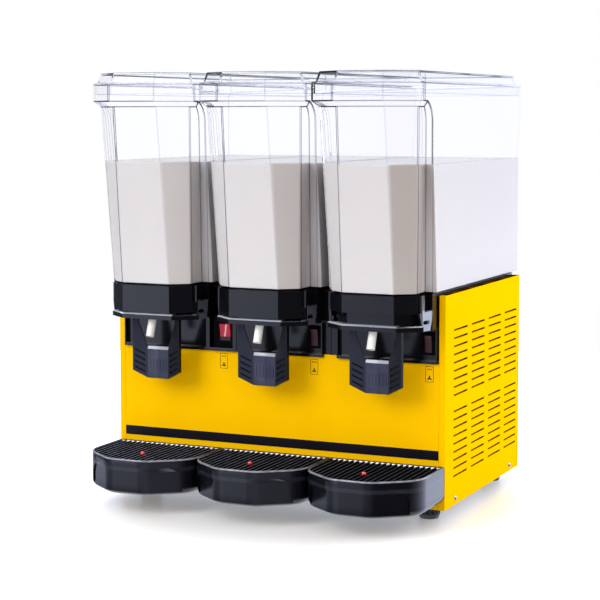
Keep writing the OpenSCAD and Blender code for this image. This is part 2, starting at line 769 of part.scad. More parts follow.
module tap_lever() color([0.1, 0.1, 0.12]) difference() {
    arm_y = -pad_y - (lever_w - pad_w) / 2 * tan(wing_angle) + arm_set;
    head_x = lever_w / 2 - arm_w + 0.5;
    pad_top = pad_z + pad_h;
    pad_rear = -pad_y + lever_t + 1;
    union() {
        across(-pad_w / 2 - 0.5, pad_w + 1) polygon([[-pad_y, pad_z], [-pad_y, pad_top],
            [-pad_y + ledge_d, pad_top + ledge_h], [pad_rear, pad_top + ledge_h], [pad_rear, pad_z]]);
        for (k = [0 : grips - 1])
            block([grip_x(k) - grip_w / 2, grip_x(k) + grip_w / 2], [-pad_y - grip_d, -pad_y + 1],
                [pad_z + grip_z, pad_z + grip_z + grip_h]);
        both_sides() {
            lever_wing();
            across(head_x, head_w) polygon([[arm_y, lip_z + arm_set], [arm_y + lever_t, lip_z + arm_set],
                [-pin_y + eye_r, pin_z], [-pin_y, pin_z + eye_r], [arm_y, arm_top_z + arm_set]]);
            rod_x(head_x, -pin_y, pin_z, eye_r, head_w);
        }
        block([-head_x - 1, head_x + 1], [pinch_y, pinch_y + pinch_t], [pinch_z, pinch_z + pinch_h]);
    }
    rod_x(-lever_w, -pin_y, pin_z, pin_d / 2 + run_gap, 2 * lever_w);
}

module lever_pins() color([0.7, 0.7, 0.72]) each_unit()
    rod_x(-pin_half, -pin_y, pin_z, pin_d / 2, 2 * pin_half);

module lever_springs() color([0.6, 0.6, 0.62]) each_unit() difference() {
    rod_x(-spring_l / 2, -pin_y, pin_z, pin_d / 2 + spring_t, spring_l);
    rod_x(-spring_l / 2 - 1, -pin_y, pin_z, pin_d / 2 + spring_gap, spring_l + 2);
}

// The spout's bore or skin: straight down, then forwards from a mitred bend, past its ends by extra
module spout_path(r, extra) translate([0, -spout_y, bend_z]) {
    intersection() {
        translate([0, 0, -2 * r]) cylinder(r = r, h = 2 * r + roof_z - cuff_l - bend_z + extra);
        rotate([-spout_lean / 2, 0, 0]) translate([-far / 2, -far / 2, 0]) cube(far);
    }
    intersection() {
        rotate([180 - spout_lean, 0, 0]) translate([0, 0, -2 * r])
            cylinder(r = r, h = 2 * r + spout_l + extra);
        rotate([-spout_lean / 2, 0, 0]) translate([-far / 2, -far / 2, -far]) cube(far);
    }
}

module spout_tube() color([0.95, 0.95, 0.95]) difference() {
    union() {
        spout_path(spout_d / 2, 0);
        translate([0, -spout_y, roof_z - cuff_l]) cylinder(r = spigot_d / 2 + cuff_wall, h = cuff_l);
    }
    spout_path(spout_d / 2 - spout_wall, 1);
    translate([0, -spout_y, floor_z - spigot_l - spigot_gap])
        cylinder(r = spigot_d / 2 + spigot_gap, h = cuff_l);
}

module switch_panel(u) color([0.13, 0.13, 0.15]) {
    left = frame_left(u);
    right = frame_right(u);
    frame_top = lip_z - seat_clear;
    frame_y = [-panel_proud, plate_y + 0.5];
    hole_w = bezel_w[u] - 2 * body_set + hole_gap;
    hole_h = bezel_h - 2 * body_set + hole_gap;
    difference() {
        block([-plate_left(u), plate_right(u)], [plate_y, plate_y + panel_t],
            [panel_z - plate_drop, deck_z - sheet_gap]);
        translate([switch_x[u] - hole_w / 2, 0, switch_cz - hole_h / 2])
            cube([hole_w, plate_y + panel_t + 1, hole_h]);
    }
    block([-left, right], frame_y, [panel_z, panel_z + panel_bar]);
    block([-left, -left + panel_bar / 2], frame_y, [panel_z, frame_top]);
    block([right - (u == 0 ? bay_bar : panel_bar / 2), right], frame_y, [panel_z, frame_top]);
    if (u == 0) block([right - bay_w, right - bay_w + bay_bar], frame_y, [panel_z, frame_top]);
}

module switch_body(bezel, rocker) difference() {
    body = bezel / 2 - body_set;
    union() {
        block([-bezel / 2, bezel / 2], [plate_y - bezel_t, plate_y], [-bezel_h / 2, bezel_h / 2]);
        block([-body, body], [plate_y - 1, plate_y + body_depth],
            [-bezel_h / 2 + body_set, bezel_h / 2 - body_set]);
    }
    block([-rocker / 2 - rocker_gap, rocker / 2 + rocker_gap], [plate_y - bezel_t - 1, plate_y + well_depth],
        [-rocker_h / 2 - rocker_swing_gap, rocker_h / 2 + rocker_swing_gap]);
    rod_x(-rocker / 2 - rocker_pin_l - rocker_gap, plate_y, 0, rocker_pin_d / 2 + run_gap,
        rocker + 2 * (rocker_pin_l + rocker_gap));
}

module switch_bodies() color([0.08, 0.08, 0.08]) for (u = [0 : len(sides) - 1])
    translate([unit_x(u) + switch_x[u], 0, switch_cz]) switch_body(bezel_w[u], rocker_w[u]);

module switch_rocker(u) color([0.75, 0.05, 0.08]) translate([switch_x[u], plate_y, switch_cz])
    rotate([rocker_tilt, 0, 0]) {
        w = rocker_w[u];
        across(-w / 2, w) polygon([[-rocker_nose - rocker_cup, rocker_h / 2], [-rocker_nose, 0],
            [-rocker_nose - rocker_cup, -rocker_h / 2], [0, -rocker_h / 2], [rocker_root, -rocker_h / 4],
            [rocker_root, rocker_h / 4], [0, rocker_h / 2]]);
        rod_x(-w / 2 - rocker_pin_l, 0, 0, rocker_pin_d / 2, w + 2 * rocker_pin_l);
    }

// Shallow panel with arched ends in a tray's front, with a cove along its top
module tray_panel() difference() {
    half = tray_half - tray_panel_edge;
    top = tray_top_z - tray_rim_h;
    low = top - tray_cove_h;
    translate([0, -tray_reach / 2, 0]) rotate([90, 0, 0]) linear_extrude(far) polygon(rounded(
        [[-half, tray_z - 1], [half, tray_z - 1], [half, top], [-half, top]],
        [0, 0, tray_panel_r, tray_panel_r]));
    slab(tray_outline(tray_set, far), tray_z - 2, low - tray_z + 2);
    loft(tray_outline(tray_set, far), low, tray_outline(-tray_panel_over, far), top);
}

module drip_tray() color([0.1, 0.1, 0.11]) {
    rear = -tray_clear;
    rear_in = rear - tray_wall;
    difference() {
        union() {
            slab(tray_outline(0, rear), tray_z + tray_round, tray_h - tray_round - tray_edge_h);
            loft(tray_outline(0, rear), tray_top_z - tray_edge_h,
                tray_outline(tray_edge_d, rear), tray_top_z);
            for (k = [0 : round_steps - 1]) loft(tray_outline(round_in(k), rear), tray_z + round_up(k),
                tray_outline(round_in(k + 1), rear), tray_z + round_up(k + 1));
        }
        tray_panel();
        slab(tray_outline(tray_wall, rear_in), grid_z, tray_h);
        slab(tray_outline(tray_wall + grid_seat, rear_in - grid_seat), tray_z + tray_wall, tray_h);
    }
    both_sides() block([tongue_x - tongue_w / 2, tongue_x + tongue_w / 2], [rear_in + 1, tongue_l],
        [tongue_z, tongue_z + tongue_t]);
}

module drip_grid() color([0.12, 0.12, 0.13]) translate([0, 0, grid_z]) {
    edge = tray_wall + grid_gap;
    rear = -tray_clear - edge;
    bars = floor(tray_half / grid_pitch);
    inner_rear = rear - grid_border;
    inner_half = tray_half - edge - grid_border;
    difference() {
        union() {
            difference() {
                linear_extrude(grid_t) difference() {
                    polygon(tray_outline(edge, rear));
                    polygon(tray_outline(edge + grid_border, inner_rear));
                }
                across(-inner_half, 2 * inner_half) polygon([[inner_rear - 1, grid_t - grid_slope_h],
                    [inner_rear, grid_t - grid_slope_h], [inner_rear + grid_slope_d, grid_t],
                    [inner_rear + grid_slope_d, grid_t + 1], [inner_rear - 1, grid_t + 1]]);
            }
            linear_extrude(grid_t) intersection() {
                polygon(tray_outline(edge + grid_border / 2, rear - grid_border / 2));
                for (k = [-bars : bars])
                    translate([k * grid_pitch - grid_bar / 2, -far]) square([grid_bar, 2 * far]);
            }
            linear_extrude(grid_t - cross_set) intersection() {
                polygon(tray_outline(edge + grid_border / 2, rear - grid_border / 2));
                for (k = [1 : 3]) translate([-far, -k * cross_pitch]) square([2 * far, grid_bar]);
            }
            translate([0, -float_y, 0])
                cylinder(d = float_d + 2 * (float_hole_gap + float_eye_t), h = grid_t);
        }
        translate([0, -float_y, -1]) cylinder(d = float_d + 2 * float_hole_gap, h = grid_t + 2);
    }
}

module level_float() color([0.85, 0.06, 0.1]) translate([0, -float_y, tray_z + tray_wall + float_rest]) {
    stem_h = tray_h - tray_wall - float_rest + float_proud - float_d / 2;
    cylinder(d = float_disc_d, h = float_disc_h);
    cylinder(d = float_d, h = stem_h);
    translate([0, 0, stem_h]) sphere(d = float_d);
}

module base_pan() color([0.7, 0.72, 0.74]) {
    x = half_w - sheet_t - sheet_gap;
    y0 = sheet_t + sheet_gap;
    y1 = cabinet_d - 2 * sheet_t - 2 * sheet_gap;
    difference() {
        union() {
            block([-x, x], [y0, y1], [0, sheet_t]);
            both_sides() block([x - sheet_t, x], [y0, y1], [0, pan_edge_h]);
            block([-x, x], [y0, y0 + sheet_t], [0, pan_edge_h]);
            block([-x, x], [y1 - sheet_t, y1], [0, pan_edge_h]);
        }
        foot_places() translate([0, 0, -1]) cylinder(r = stud_d / 2 + run_gap, h = sheet_t + 2);
        side_screw_places() rod_x(-1, 0, 0, screw_d / 2 + run_gap, 8);
    }
}

module foot_places() for (x = [-1, 1]) for (y = [foot_inset_y, cabinet_d - foot_inset_y])
    translate([x * (half_w - foot_inset_x), y, 0]) children();

// Side screws point inwards along +X in their own frame
module side_screw_places() for (y = [screw_inset_y, cabinet_d - screw_inset_y]) {
    translate([-half_w, y, screw_z]) children();
    translate([half_w, y, screw_z]) mirror([1, 0, 0]) children();
}

// Rear screws point inwards along -Y in their own frame
module rear_screw_places() for (x = [-1, 1]) for (k = [0 : 2])
    translate([x * (half_w - sheet_t - flange_w / 2), cabinet_d,
        rear_screw_z + k * (cabinet_h / 2 - rear_screw_z)]) children();

module screw_solid() rotate_extrude() polygon(concat(
    [[0, -screw_l], [screw_d / 2, -screw_l], [screw_d / 2, 0], [screw_head_d / 2, 0]],
    [for (t = [0 : 15 : 90]) [screw_head_d / 2 * cos(t), head_edge + head_dome * sin(t)]]));

module screws() color([0.75, 0.75, 0.76]) {
    side_screw_places() rotate([0, -90, 0]) screw_solid();
    rear_screw_places() rotate([-90, 0, 0]) screw_solid();
}

module feet() color([0.08, 0.08, 0.08]) foot_places() {
    difference() {
        union() {
            translate([0, 0, -foot_h])
                cylinder(d1 = foot_d - foot_taper, d2 = foot_d, h = foot_h * foot_cone);
            translate([0, 0, -foot_h * (1 - foot_cone)]) cylinder(d = foot_d, h = foot_h * (1 - foot_cone));
        }
        for (k = [0 : foot_flutes - 1]) rotate([0, 0, k * 360 / foot_flutes])
            translate([foot_d / 2 + 1, 0, -foot_h * (1 - foot_cone) + 1])
                cylinder(d = flute_d, h = foot_h, $fn = 24);
    }
    translate([0, 0, -1]) cylinder(d = stud_d, h = stud_l + 1);
}

// One louvre of the right side panel: a slit with its lip bent inwards from the lower edge
module louvre_places() for (g = [0, 1]) for (r = [0 : louvre_rows - 1]) for (c = [0 : louvre_columns - 1])
    translate([half_w, louvre_y + c * louvre_pitch_y, louvre_z + (r + g * group_rows) * louvre_pitch_z])
        children();

module louvre_lip() {
    top = louvre_slit - lip_trim;
    translate([0, louvre_l, 0]) rotate([90, 0, 0]) linear_extrude(louvre_l) polygon([[-sheet_t, -lip_edge],
        [0, -lip_edge], [0, 0], [-lip_in_x, top], [-lip_in_x - sheet_t, top], [-sheet_t, 0]]);
}

module right_side_panel() color([0.98, 0.76, 0.05]) {
    x = half_w;
    rear_in = cabinet_d - sheet_t - sheet_gap;
    difference() {
        union() {
            block([x - sheet_t, x], [0, cabinet_d], [0, cabinet_h]);
            block([x - flange_w, x], [0, sheet_t], [0, cabinet_h]);
            block([x - flange_w - sheet_t, x], [rear_in - sheet_t, rear_in],
                [pan_edge_h + 1, deck_z - sheet_gap]);
            block([x - flange_w, x], [0, cabinet_d], [deck_z, cabinet_h]);
        }
        louvre_places() block([-sheet_t - 1, 1], [0, louvre_l], [0, louvre_slit]);
        side_screw_places() rod_x(-1, 0, 0, screw_d / 2 + run_gap, 4);
        rear_screw_places() rod_y(0, -6, 0, screw_d / 2 + run_gap, 8);
    }
    louvre_places() louvre_lip();
}

module left_side_panel() mirror([1, 0, 0]) right_side_panel();

module front_panel() color([0.98, 0.76, 0.05]) {
    x = half_w - flange_w - sheet_gap;
    top = panel_z - sheet_gap;
    difference() {
        union() {
            block([-x, x], [0, sheet_t], [0, top]);
            for (u = [1 : len(sides) - 2])
                block([unit_x(u) + frame_right(u) + sheet_gap, unit_x(u + 1) - frame_left(u + 1) - sheet_gap],
                    [0, sheet_t], [0, top + tab_h]);
        }
        each_unit() both_sides()
            block([tongue_x - tongue_w / 2 - tongue_gap, tongue_x + tongue_w / 2 + tongue_gap],
                [-1, sheet_t + 1], [tongue_z - tongue_gap, tongue_z + tongue_t + tongue_gap]);
    }
}

module trim_strip() color([0.06, 0.06, 0.07]) {
    x = half_w - flange_w - sheet_gap;
    block([-x, x], [-trim_t, 0], [trim_z, trim_z + trim_h]);
}

module rear_panel() color([0.98, 0.76, 0.05]) {
    x = half_w - sheet_t - sheet_gap;
    difference() {
        block([-x, x], [cabinet_d - sheet_t, cabinet_d], [0, deck_z - sheet_gap]);
        for (c = [-1 : 1]) for (r = [0 : vent_rows - 1])
            translate([fan_x + c * (vent_l + vent_gap), cabinet_d, vent_z + r * vent_pitch])
                block([-vent_l / 2, vent_l / 2], [-sheet_t - 1, 1], [0, vent_h]);
        rear_screw_places() rod_y(0, -6, 0, screw_d / 2 + run_gap, 8);
        cord_place() rod_y(0, -5, 0, inlet_r + 0.2, 10);
    }
}

module cord_place() translate([-half_w + inlet_x, cabinet_d, inlet_z]) children();

module cord_inlet() color([0.1, 0.1, 0.1]) cord_place() difference() {
    union() {
        rod_y(0, -inlet_in, 0, inlet_r, inlet_l);
        rod_y(0, 0, 0, inlet_r + inlet_rim, inlet_rim);
        rod_y(0, -sheet_t - inlet_rim, 0, inlet_r + inlet_rim, inlet_rim);
    }
    rod_y(0, -inlet_in - 1, 0, inlet_bore_r, inlet_l + 2);
}

module top_deck() color([0.98, 0.76, 0.05]) {
    x = half_w - flange_w - sheet_gap;
    difference() {
        block([-x, x], [0, cabinet_d], [deck_z, cabinet_h]);
        each_unit() translate([0, cylinder_y, 0]) cylinder(r = deck_hole_r, h = far);
    }
}

module compressor() color([0.1, 0.1, 0.1]) translate([-half_w / 2, compressor_y, 0]) {
    plate_z = sheet_t + mount_h;
    r = compressor_d / 2;
    shell_z = plate_z + plate_t;
    straight = compressor_h - dome_h;
    translate([0, 0, shell_z]) rotate_extrude() polygon(concat([[0, -0.5], [r, -0.5]],
        [for (t = [0 : 10 : 80]) [r * cos(t), straight + dome_h * sin(t)]], [[0, straight + dome_h]]));
    block([-r - plate_edge, r + plate_edge], [-r + plate_edge, r - plate_edge], [plate_z, shell_z]);
    for (x = [-1, 1]) for (y = [-1, 1])
        translate([x * r, y * (r - plate_edge - mount_d / 2), sheet_t])
            cylinder(d = mount_d, h = mount_h + 1);
    block([r + box_x[0], r + box_x[1]], [-box_half, box_half], [shell_z + box_low, shell_z + box_high]);
}

module condenser() color([0.62, 0.63, 0.65]) translate([fan_x, cabinet_d - condenser_set, 0]) {
    half = fan_d / 2 + condenser_edge;
    low = condenser_low;
    high = low + fan_d + condenser_edge;
    block([-half, half], [-core_half, core_half], [low, high]);
    for (k = [0 : fins - 1]) translate([-half + k * (2 * half - fin_t) / (fins - 1), 0, 0])
        block([0, fin_t], [-fin_d / 2, fin_d / 2], [low, high]);
    for (s = [-1, 1]) block([s * half - leg_half_x, s * half + leg_half_x], [-leg_half_y, leg_half_y],
        [sheet_t, low + leg_half_x]);
}

module fan_rotor() color([0.3, 0.3, 0.32]) translate([fan_x, fan_y, fan_z]) rotate([-90, 0, 0]) difference() {
    union() {
        cylinder(r = fan_hub_r, h = fan_hub_h);
        intersection() {
            for (k = [0 : fan_blades - 1]) rotate([0, 0, k * 360 / fan_blades])
                translate([fan_hub_r - 2, 0, fan_hub_h / 2]) rotate([blade_pitch, 0, 0])
                    translate([0, -fan_blade_w / 2, -fan_blade_t / 2])
                        cube([fan_d / 2, fan_blade_w, fan_blade_t]);
            translate([0, 0, -far / 2]) cylinder(d = fan_d, h = far);
        }
    }
    translate([0, 0, -1]) cylinder(r = fan_shaft_r + run_gap, h = fan_hub_h - fan_shaft_r);
}

module fan_motor() color([0.35, 0.35, 0.36]) translate([fan_x, fan_y, fan_z]) {
    back = -can_gap;
    low = sheet_t - fan_z;
    rod_y(0, back - can_l, 0, can_r, can_l);
    rod_y(0, back - 1, 0, fan_shaft_r, can_gap + fan_hub_h - 2 * fan_shaft_r);
    block([-stand_half, stand_half], [back - can_l + stand_half, back - stand_half], [low, -can_r + plate_t]);
    block([-stand_foot, stand_foot], [back - can_l, back], [low, low + plate_t]);
}

for (u = [0 : len(sides) - 1]) {
    at_unit(u) bowl();
    at_unit(u) bowl_lid();
    at_unit(u) bowl_seat(u);
    at_unit(u) cooling_cylinder();
    at_unit(u) mixing_paddle();
    at_unit(u) drive_magnet();
    at_unit(u) tap_lever();
    at_unit(u) spout_tube();
    at_unit(u) switch_panel(u);
    at_unit(u) switch_rocker(u);
    at_unit(u) drip_tray();
    at_unit(u) drip_grid();
    at_unit(u) level_float();
}
at_cabinet() mixer_motors();
at_cabinet() evaporator_coils();
at_cabinet() bowl_gaskets();
at_cabinet() lever_pins();
at_cabinet() lever_springs();
at_cabinet() switch_bodies();
at_cabinet() screws();
at_cabinet() feet();
at_cabinet() base_pan();
at_cabinet() front_panel();
at_cabinet() left_side_panel();
at_cabinet() right_side_panel();
at_cabinet() rear_panel();
at_cabinet() top_deck();
at_cabinet() trim_strip();
at_cabinet() compressor();
at_cabinet() condenser();
at_cabinet() fan_rotor();
at_cabinet() fan_motor();
at_cabinet() cord_inlet();
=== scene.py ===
# %% [markdown]
# # A three-bowl cold drink dispenser
# The machine is already built as a set of solids in one frame: metres, +X to the right, +Y to the rear, +Z up.
# Here it gets its looks. The solids stay where they are, and each gets a finish, softened edges and, where the
# solids stop, a few new surfaces such as the drink. Loading the frame first means that nothing has to be fitted.

# %% Load the frame
import json

import bmesh
import bpy
import numpy as np
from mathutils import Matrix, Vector


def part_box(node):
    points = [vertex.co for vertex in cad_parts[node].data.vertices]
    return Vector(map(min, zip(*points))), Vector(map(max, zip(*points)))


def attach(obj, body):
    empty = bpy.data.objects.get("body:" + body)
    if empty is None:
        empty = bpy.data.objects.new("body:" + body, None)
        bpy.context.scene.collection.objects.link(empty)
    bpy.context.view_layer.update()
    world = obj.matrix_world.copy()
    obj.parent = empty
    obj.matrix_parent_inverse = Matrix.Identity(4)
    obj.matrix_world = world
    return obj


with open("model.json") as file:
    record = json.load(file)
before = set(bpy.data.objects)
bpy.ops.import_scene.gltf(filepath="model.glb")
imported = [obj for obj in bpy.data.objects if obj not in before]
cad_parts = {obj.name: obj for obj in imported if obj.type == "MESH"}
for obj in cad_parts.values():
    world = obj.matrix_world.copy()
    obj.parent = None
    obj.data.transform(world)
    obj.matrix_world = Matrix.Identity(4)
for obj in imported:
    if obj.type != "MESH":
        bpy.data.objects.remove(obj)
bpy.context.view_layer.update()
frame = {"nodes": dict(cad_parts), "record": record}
nodes = frame["nodes"]
slot_of = {part["node"]: part["material_slot"] for part in frame["record"]["subparts"]}
SIDES = ("left", "middle", "right")
MM = 0.001

# %% [markdown]
# ## The camera
# A product picture is taken with a long lens from a little above, so that upright edges stay nearly upright. The
# camera stands right of the front and is turned by two angles only. Its lens and a small vertical shift give the
# framing, which is what a view camera does to keep the cabinet from leaning.

# %% Camera
VIEW_FROM = (1.1549, -2.5846, 0.6286)
VIEW_TURN, VIEW_DIP = np.radians(24.3), np.radians(4.2)
SENSOR_MM, LENS_MM, SHIFT = 36, 103.46, -0.1
LIGHT_BOUNCES = 32
camera = bpy.data.objects.new("camera", bpy.data.cameras.new("camera"))
camera.location = VIEW_FROM
camera.rotation_euler = (np.pi / 2 - VIEW_DIP, 0, VIEW_TURN)
camera.data.sensor_width = SENSOR_MM
camera.data.lens = LENS_MM
camera.data.shift_y = SHIFT
bpy.context.scene.collection.objects.link(camera)
bpy.context.scene.camera = camera
bpy.context.scene.view_settings.view_transform = "Standard"
# A ray that looks through two bowls and their lids crosses more walls than the usual limit of light bounces
bpy.context.scene.cycles.max_bounces = LIGHT_BOUNCES
bpy.context.scene.cycles.transmission_bounces = LIGHT_BOUNCES
print("camera", round(camera.location.length, 2), "m away")

# %% [markdown]
# ## Two helpers for node trees
# Colours are easiest to write as the hex values that a paint program shows, but Blender's shaders work in linear
# light, so one function converts them. A second one adds a node, fills in its sockets or settings by name and
# links it, so a material reads as a short list.

# %% Colour and node helpers
def linear(hex_colour, lift=1.0):
    """sRGB to linear: a channel c becomes c / 12.92 up to 0.04045, else ((c + 0.055) / 1.055) ** 2.4, times lift."""
    c = np.array([int(hex_colour[i:i + 2], 16) for i in (1, 3, 5)]) / 255
    return (*np.clip(np.where(c <= 0.04045, c / 12.92, ((c + 0.055) / 1.055) ** 2.4) * lift, 0, 1), 1.0)


def add(tree, kind, values=(), links=()):
    """One node: a value goes to the input of that name, or else to the node's own setting; a link joins an output."""
    node = tree.nodes.new(kind)
    for key, value in dict(values).items():
        if isinstance(key, int) or key in node.inputs:
            node.inputs[key].default_value = value
        else:
            setattr(node, key, value)
    for key, output in dict(links).items():
        tree.links.new(output, node.inputs[key])
    return node


def empty_material(name):
    """A material with an empty node tree."""
    made = bpy.data.materials.new(name)
    made.use_nodes = True
    made.node_tree.nodes.clear()
    return made, made.node_tree


print("yellow in linear light", [round(float(v), 3) for v in linear("#FFC400")])

# %% [markdown]
# ## Values that depend on the place
# A worn edge or a shaded recess lies at a known place on a piece, and the three units repeat it. A field is a small
# function that adds the nodes for such a value: it goes from one number to another along an axis, and several fields
# multiplied fence in a region. Places are written in metres of the shared frame, so they can be read off the solids.

# %% Fields
PITCH = 0.19                        # from one unit to the next
UNIT = (-PITCH / 2, PITCH / 2)      # one unit's width, seen from its middle
BARS = (PITCH, 0.0091)              # a grid's bars within a unit


def across(axis, fold=(), span=()):
    """The place along an axis. Each length in fold wraps it to plus or minus half of itself, and then the distance
    from zero counts, so a pattern repeats and is the same on both sides. A span wraps it too, but keeps its sign."""
    def field(tree, place):
        along = add(tree, "ShaderNodeSeparateXYZ", links={"Vector": place}).outputs[axis]
        for start, end in [(-length / 2, length / 2) for length in fold] + ([span] if span else []):
            along = add(tree, "ShaderNodeMath", {"operation": "WRAP", 1: end, 2: start}, {0: along}).outputs[0]
        if fold:
            along = add(tree, "ShaderNodeMath", {"operation": "ABSOLUTE"}, {0: along}).outputs[0]
        return along
    return field


def graded(measure, start, end, low=0.0, high=1.0):
    """Another field, measure, whose way from start to end becomes the way from low to high, and stops there."""
    def field(tree, place):
        return add(tree, "ShaderNodeMapRange", {"From Min": start, "From Max": end, "To Min": low, "To Max": high},
                   {"Value": measure(tree, place)}).outputs["Result"]
    return field


def slide(axis, start, end, low=0.0, high=1.0, fold=(), span=()):
    """Goes from low to high between two places along an axis, which is folded or wrapped as in across."""
    return graded(across(axis, fold, span), start, end, low, high)


def tilted(weights, start, end, fold):
    """Goes from 0 to 1 along the sum of X, Y and Z times their weights, with X folded."""
    def leaning(tree, place):
        point = add(tree, "ShaderNodeCombineXYZ",
                    links={"X": across("X", (fold,))(tree, place), "Y": across("Y")(tree, place),
                           "Z": across("Z")(tree, place)})
        return add(tree, "ShaderNodeVectorMath", {"operation": "DOT_PRODUCT", 1: weights},
                   {0: point.outputs["Vector"]}).outputs["Value"]
    return graded(leaning, start, end)


def speckle(size_mm, low, high):
    """Noise with cells of size_mm, from 0.35 to 0.65 of its range stretched to low and high."""
    def noise(tree, place):
        return add(tree, "ShaderNodeTexNoise", {"Scale": 1 / (size_mm * MM), "Detail": 1.0},
                   {"Vector": place}).outputs["Fac"]
    return graded(noise, 0.35, 0.65, low, high)


def product(*fields):
    """All the fields multiplied."""
    def field(tree, place):
        total = fields[0](tree, place)
        for other in fields[1:]:
            total = add(tree, "ShaderNodeMath", {"operation": "MULTIPLY"},
                        {0: total, 1: other(tree, place)}).outputs[0]
        return total
    return field


print("a field repeats every", PITCH, "m, and a grid has", int(PITCH / BARS[1]), "bars in that width")

# %% [markdown]
# ## Opaque finishes
# Most of the machine is moulded, painted or rolled. What the eye reads in such a surface is its colour, its gloss
# and a fine unevenness: the orange peel of powder paint, the spark texture of a mould. One recipe gives all of
# them: a fine noise lifts a bump, and a slow noise lets colour and gloss drift a little, so no face is dead flat.

# %% A finish from two noises
def finish(name, colour, roughness, grain_mm, depth_mm, drift=0.05, cloud_mm=70, stretch=(1, 1, 1), layers=(),
           fields=(), **sockets):
    """Noise with cells of grain_mm lifts the surface by depth_mm; noise of cloud_mm moves the colour by up to twice
    drift of itself, and the roughness by up to four times. stretch squeezes the grain along an axis, as brushing
    does. layers holds more colours, each with the field that brings it in, and fields holds sockets whose value
    depends on the place."""
    made, tree = empty_material(name)
    place = add(tree, "ShaderNodeTexCoord").outputs["Object"]
    along = add(tree, "ShaderNodeMapping", {"Scale": stretch}, {"Vector": place}).outputs["Vector"]
    grain = add(tree, "ShaderNodeTexNoise", {"Scale": 1 / (grain_mm * MM), "Detail": 3.0}, {"Vector": along})
    cloud = add(tree, "ShaderNodeTexNoise", {"Scale": 1 / (cloud_mm * MM), "Detail": 2.0}, {"Vector": place})
    tone = add(tree, "ShaderNodeMixRGB",
               {"Color1": linear(colour, 1 - 2 * drift), "Color2": linear(colour, 1 + 2 * drift)},
               {"Fac": cloud.outputs["Fac"]})
    gloss = add(tree, "ShaderNodeMapRange",
                {"To Min": roughness * (1 - 4 * drift), "To Max": roughness * (1 + 4 * drift)},
                {"Value": cloud.outputs["Fac"]})
    lift = add(tree, "ShaderNodeBump", {"Distance": depth_mm * MM}, {"Height": grain.outputs["Fac"]})
    for shade, field in layers:
        tone = add(tree, "ShaderNodeMixRGB", {"Color2": linear(shade)},
                   {"Fac": field(tree, place), "Color1": tone.outputs["Color"]})
    skin = add(tree, "ShaderNodeBsdfPrincipled", {key.replace("_", " "): value for key, value in sockets.items()},
               {"Base Color": tone.outputs["Color"], "Roughness": gloss.outputs["Result"],
                "Normal": lift.outputs["Normal"]} | {key: field(tree, place) for key, field in dict(fields).items()})
    add(tree, "ShaderNodeOutputMaterial", links={"Surface": skin.outputs["BSDF"]})
    return made


print("recipe for opaque finishes ready")

# %% Finishes by material
FINISH = {
    # Glossy moulded ABS: near black, and bright wherever it mirrors a lamp
    "black_plastic": finish("glossy_black_ABS", "#0C0D12", 0.17, 2.5, 0.006),
    # Moulded polypropylene with a fine spark texture: dark and duller
    "dark_plastic": finish("textured_dark_polypropylene", "#131316", 0.34, 0.9, 0.02),
    # Moulded white plastic: soft highlights
    "white_plastic": finish("moulded_white_acetal", "#E4E3DF", 0.3, 1.2, 0.01),
    # Red plastic: deep in the shade, bright where a lamp meets it
    "red_plastic": finish("moulded_red_polycarbonate", "#7A0F10", 0.22, 1.2, 0.006),
    # Soft food-safe tube: milky, a little light passes through it
    "white_silicone": finish("milky_silicone", "#E8E8E8", 0.38, 1.5, 0.015, Subsurface_Weight=0.3,
                             Subsurface_Scale=0.004),
    # Rubber: grey-black and dull
    "black_rubber": finish("moulded_black_rubber", "#161617", 0.62, 0.7, 0.03),
    # Powder paint on sheet steel: saturated, with the faint waves of orange peel
    "yellow_paint": finish("yellow_powder_coat", "#FFC400", 0.45, 2.2, 0.012, drift=0.02,
                           Specular_IOR_Level=0.015),
    # Satin film: even and dark
    "black_film": finish("satin_black_film", "#0F0D16", 0.3, 0.6, 0.008, Specular_IOR_Level=0.15),
    # Brushed stainless sheet: fine lines round the cylinder
    "stainless_steel": finish("brushed_stainless_steel", "#B9B7B2", 0.3, 0.8, 0.004, stretch=(0.05, 0.05, 1),
                              Metallic=1.0),
    # Zinc plated fasteners: pale, a little bluish
    "plated_steel": finish("zinc_plated_steel", "#84878B", 0.32, 0.6, 0.004, Metallic=1.0),
    # Galvanised sheet: the zinc's large crystals make pale and dark clouds
    "galvanised_sheet": finish("galvanised_sheet", "#9EA2A4", 0.42, 9, 0.01, drift=0.08, cloud_mm=14, Metallic=1.0),
    # Compressor shell in black enamel
    "dark_steel": finish("black_enamelled_steel", "#121212", 0.28, 1.8, 0.01),
    # Copper tube, slightly dulled
    "copper": finish("drawn_copper", "#B36B46", 0.3, 1.2, 0.006, drift=0.09, Metallic=1.0),
    # Thin rolled aluminium
    "fin_aluminium": finish("rolled_aluminium", "#B4B6B8", 0.36, 0.7, 0.006, Metallic=1.0),
    # Motor housing in grey enamel
    "motor_paint": finish("grey_motor_enamel", "#55595C", 0.38, 1.4, 0.012),
}
print(len(FINISH), "opaque finishes")
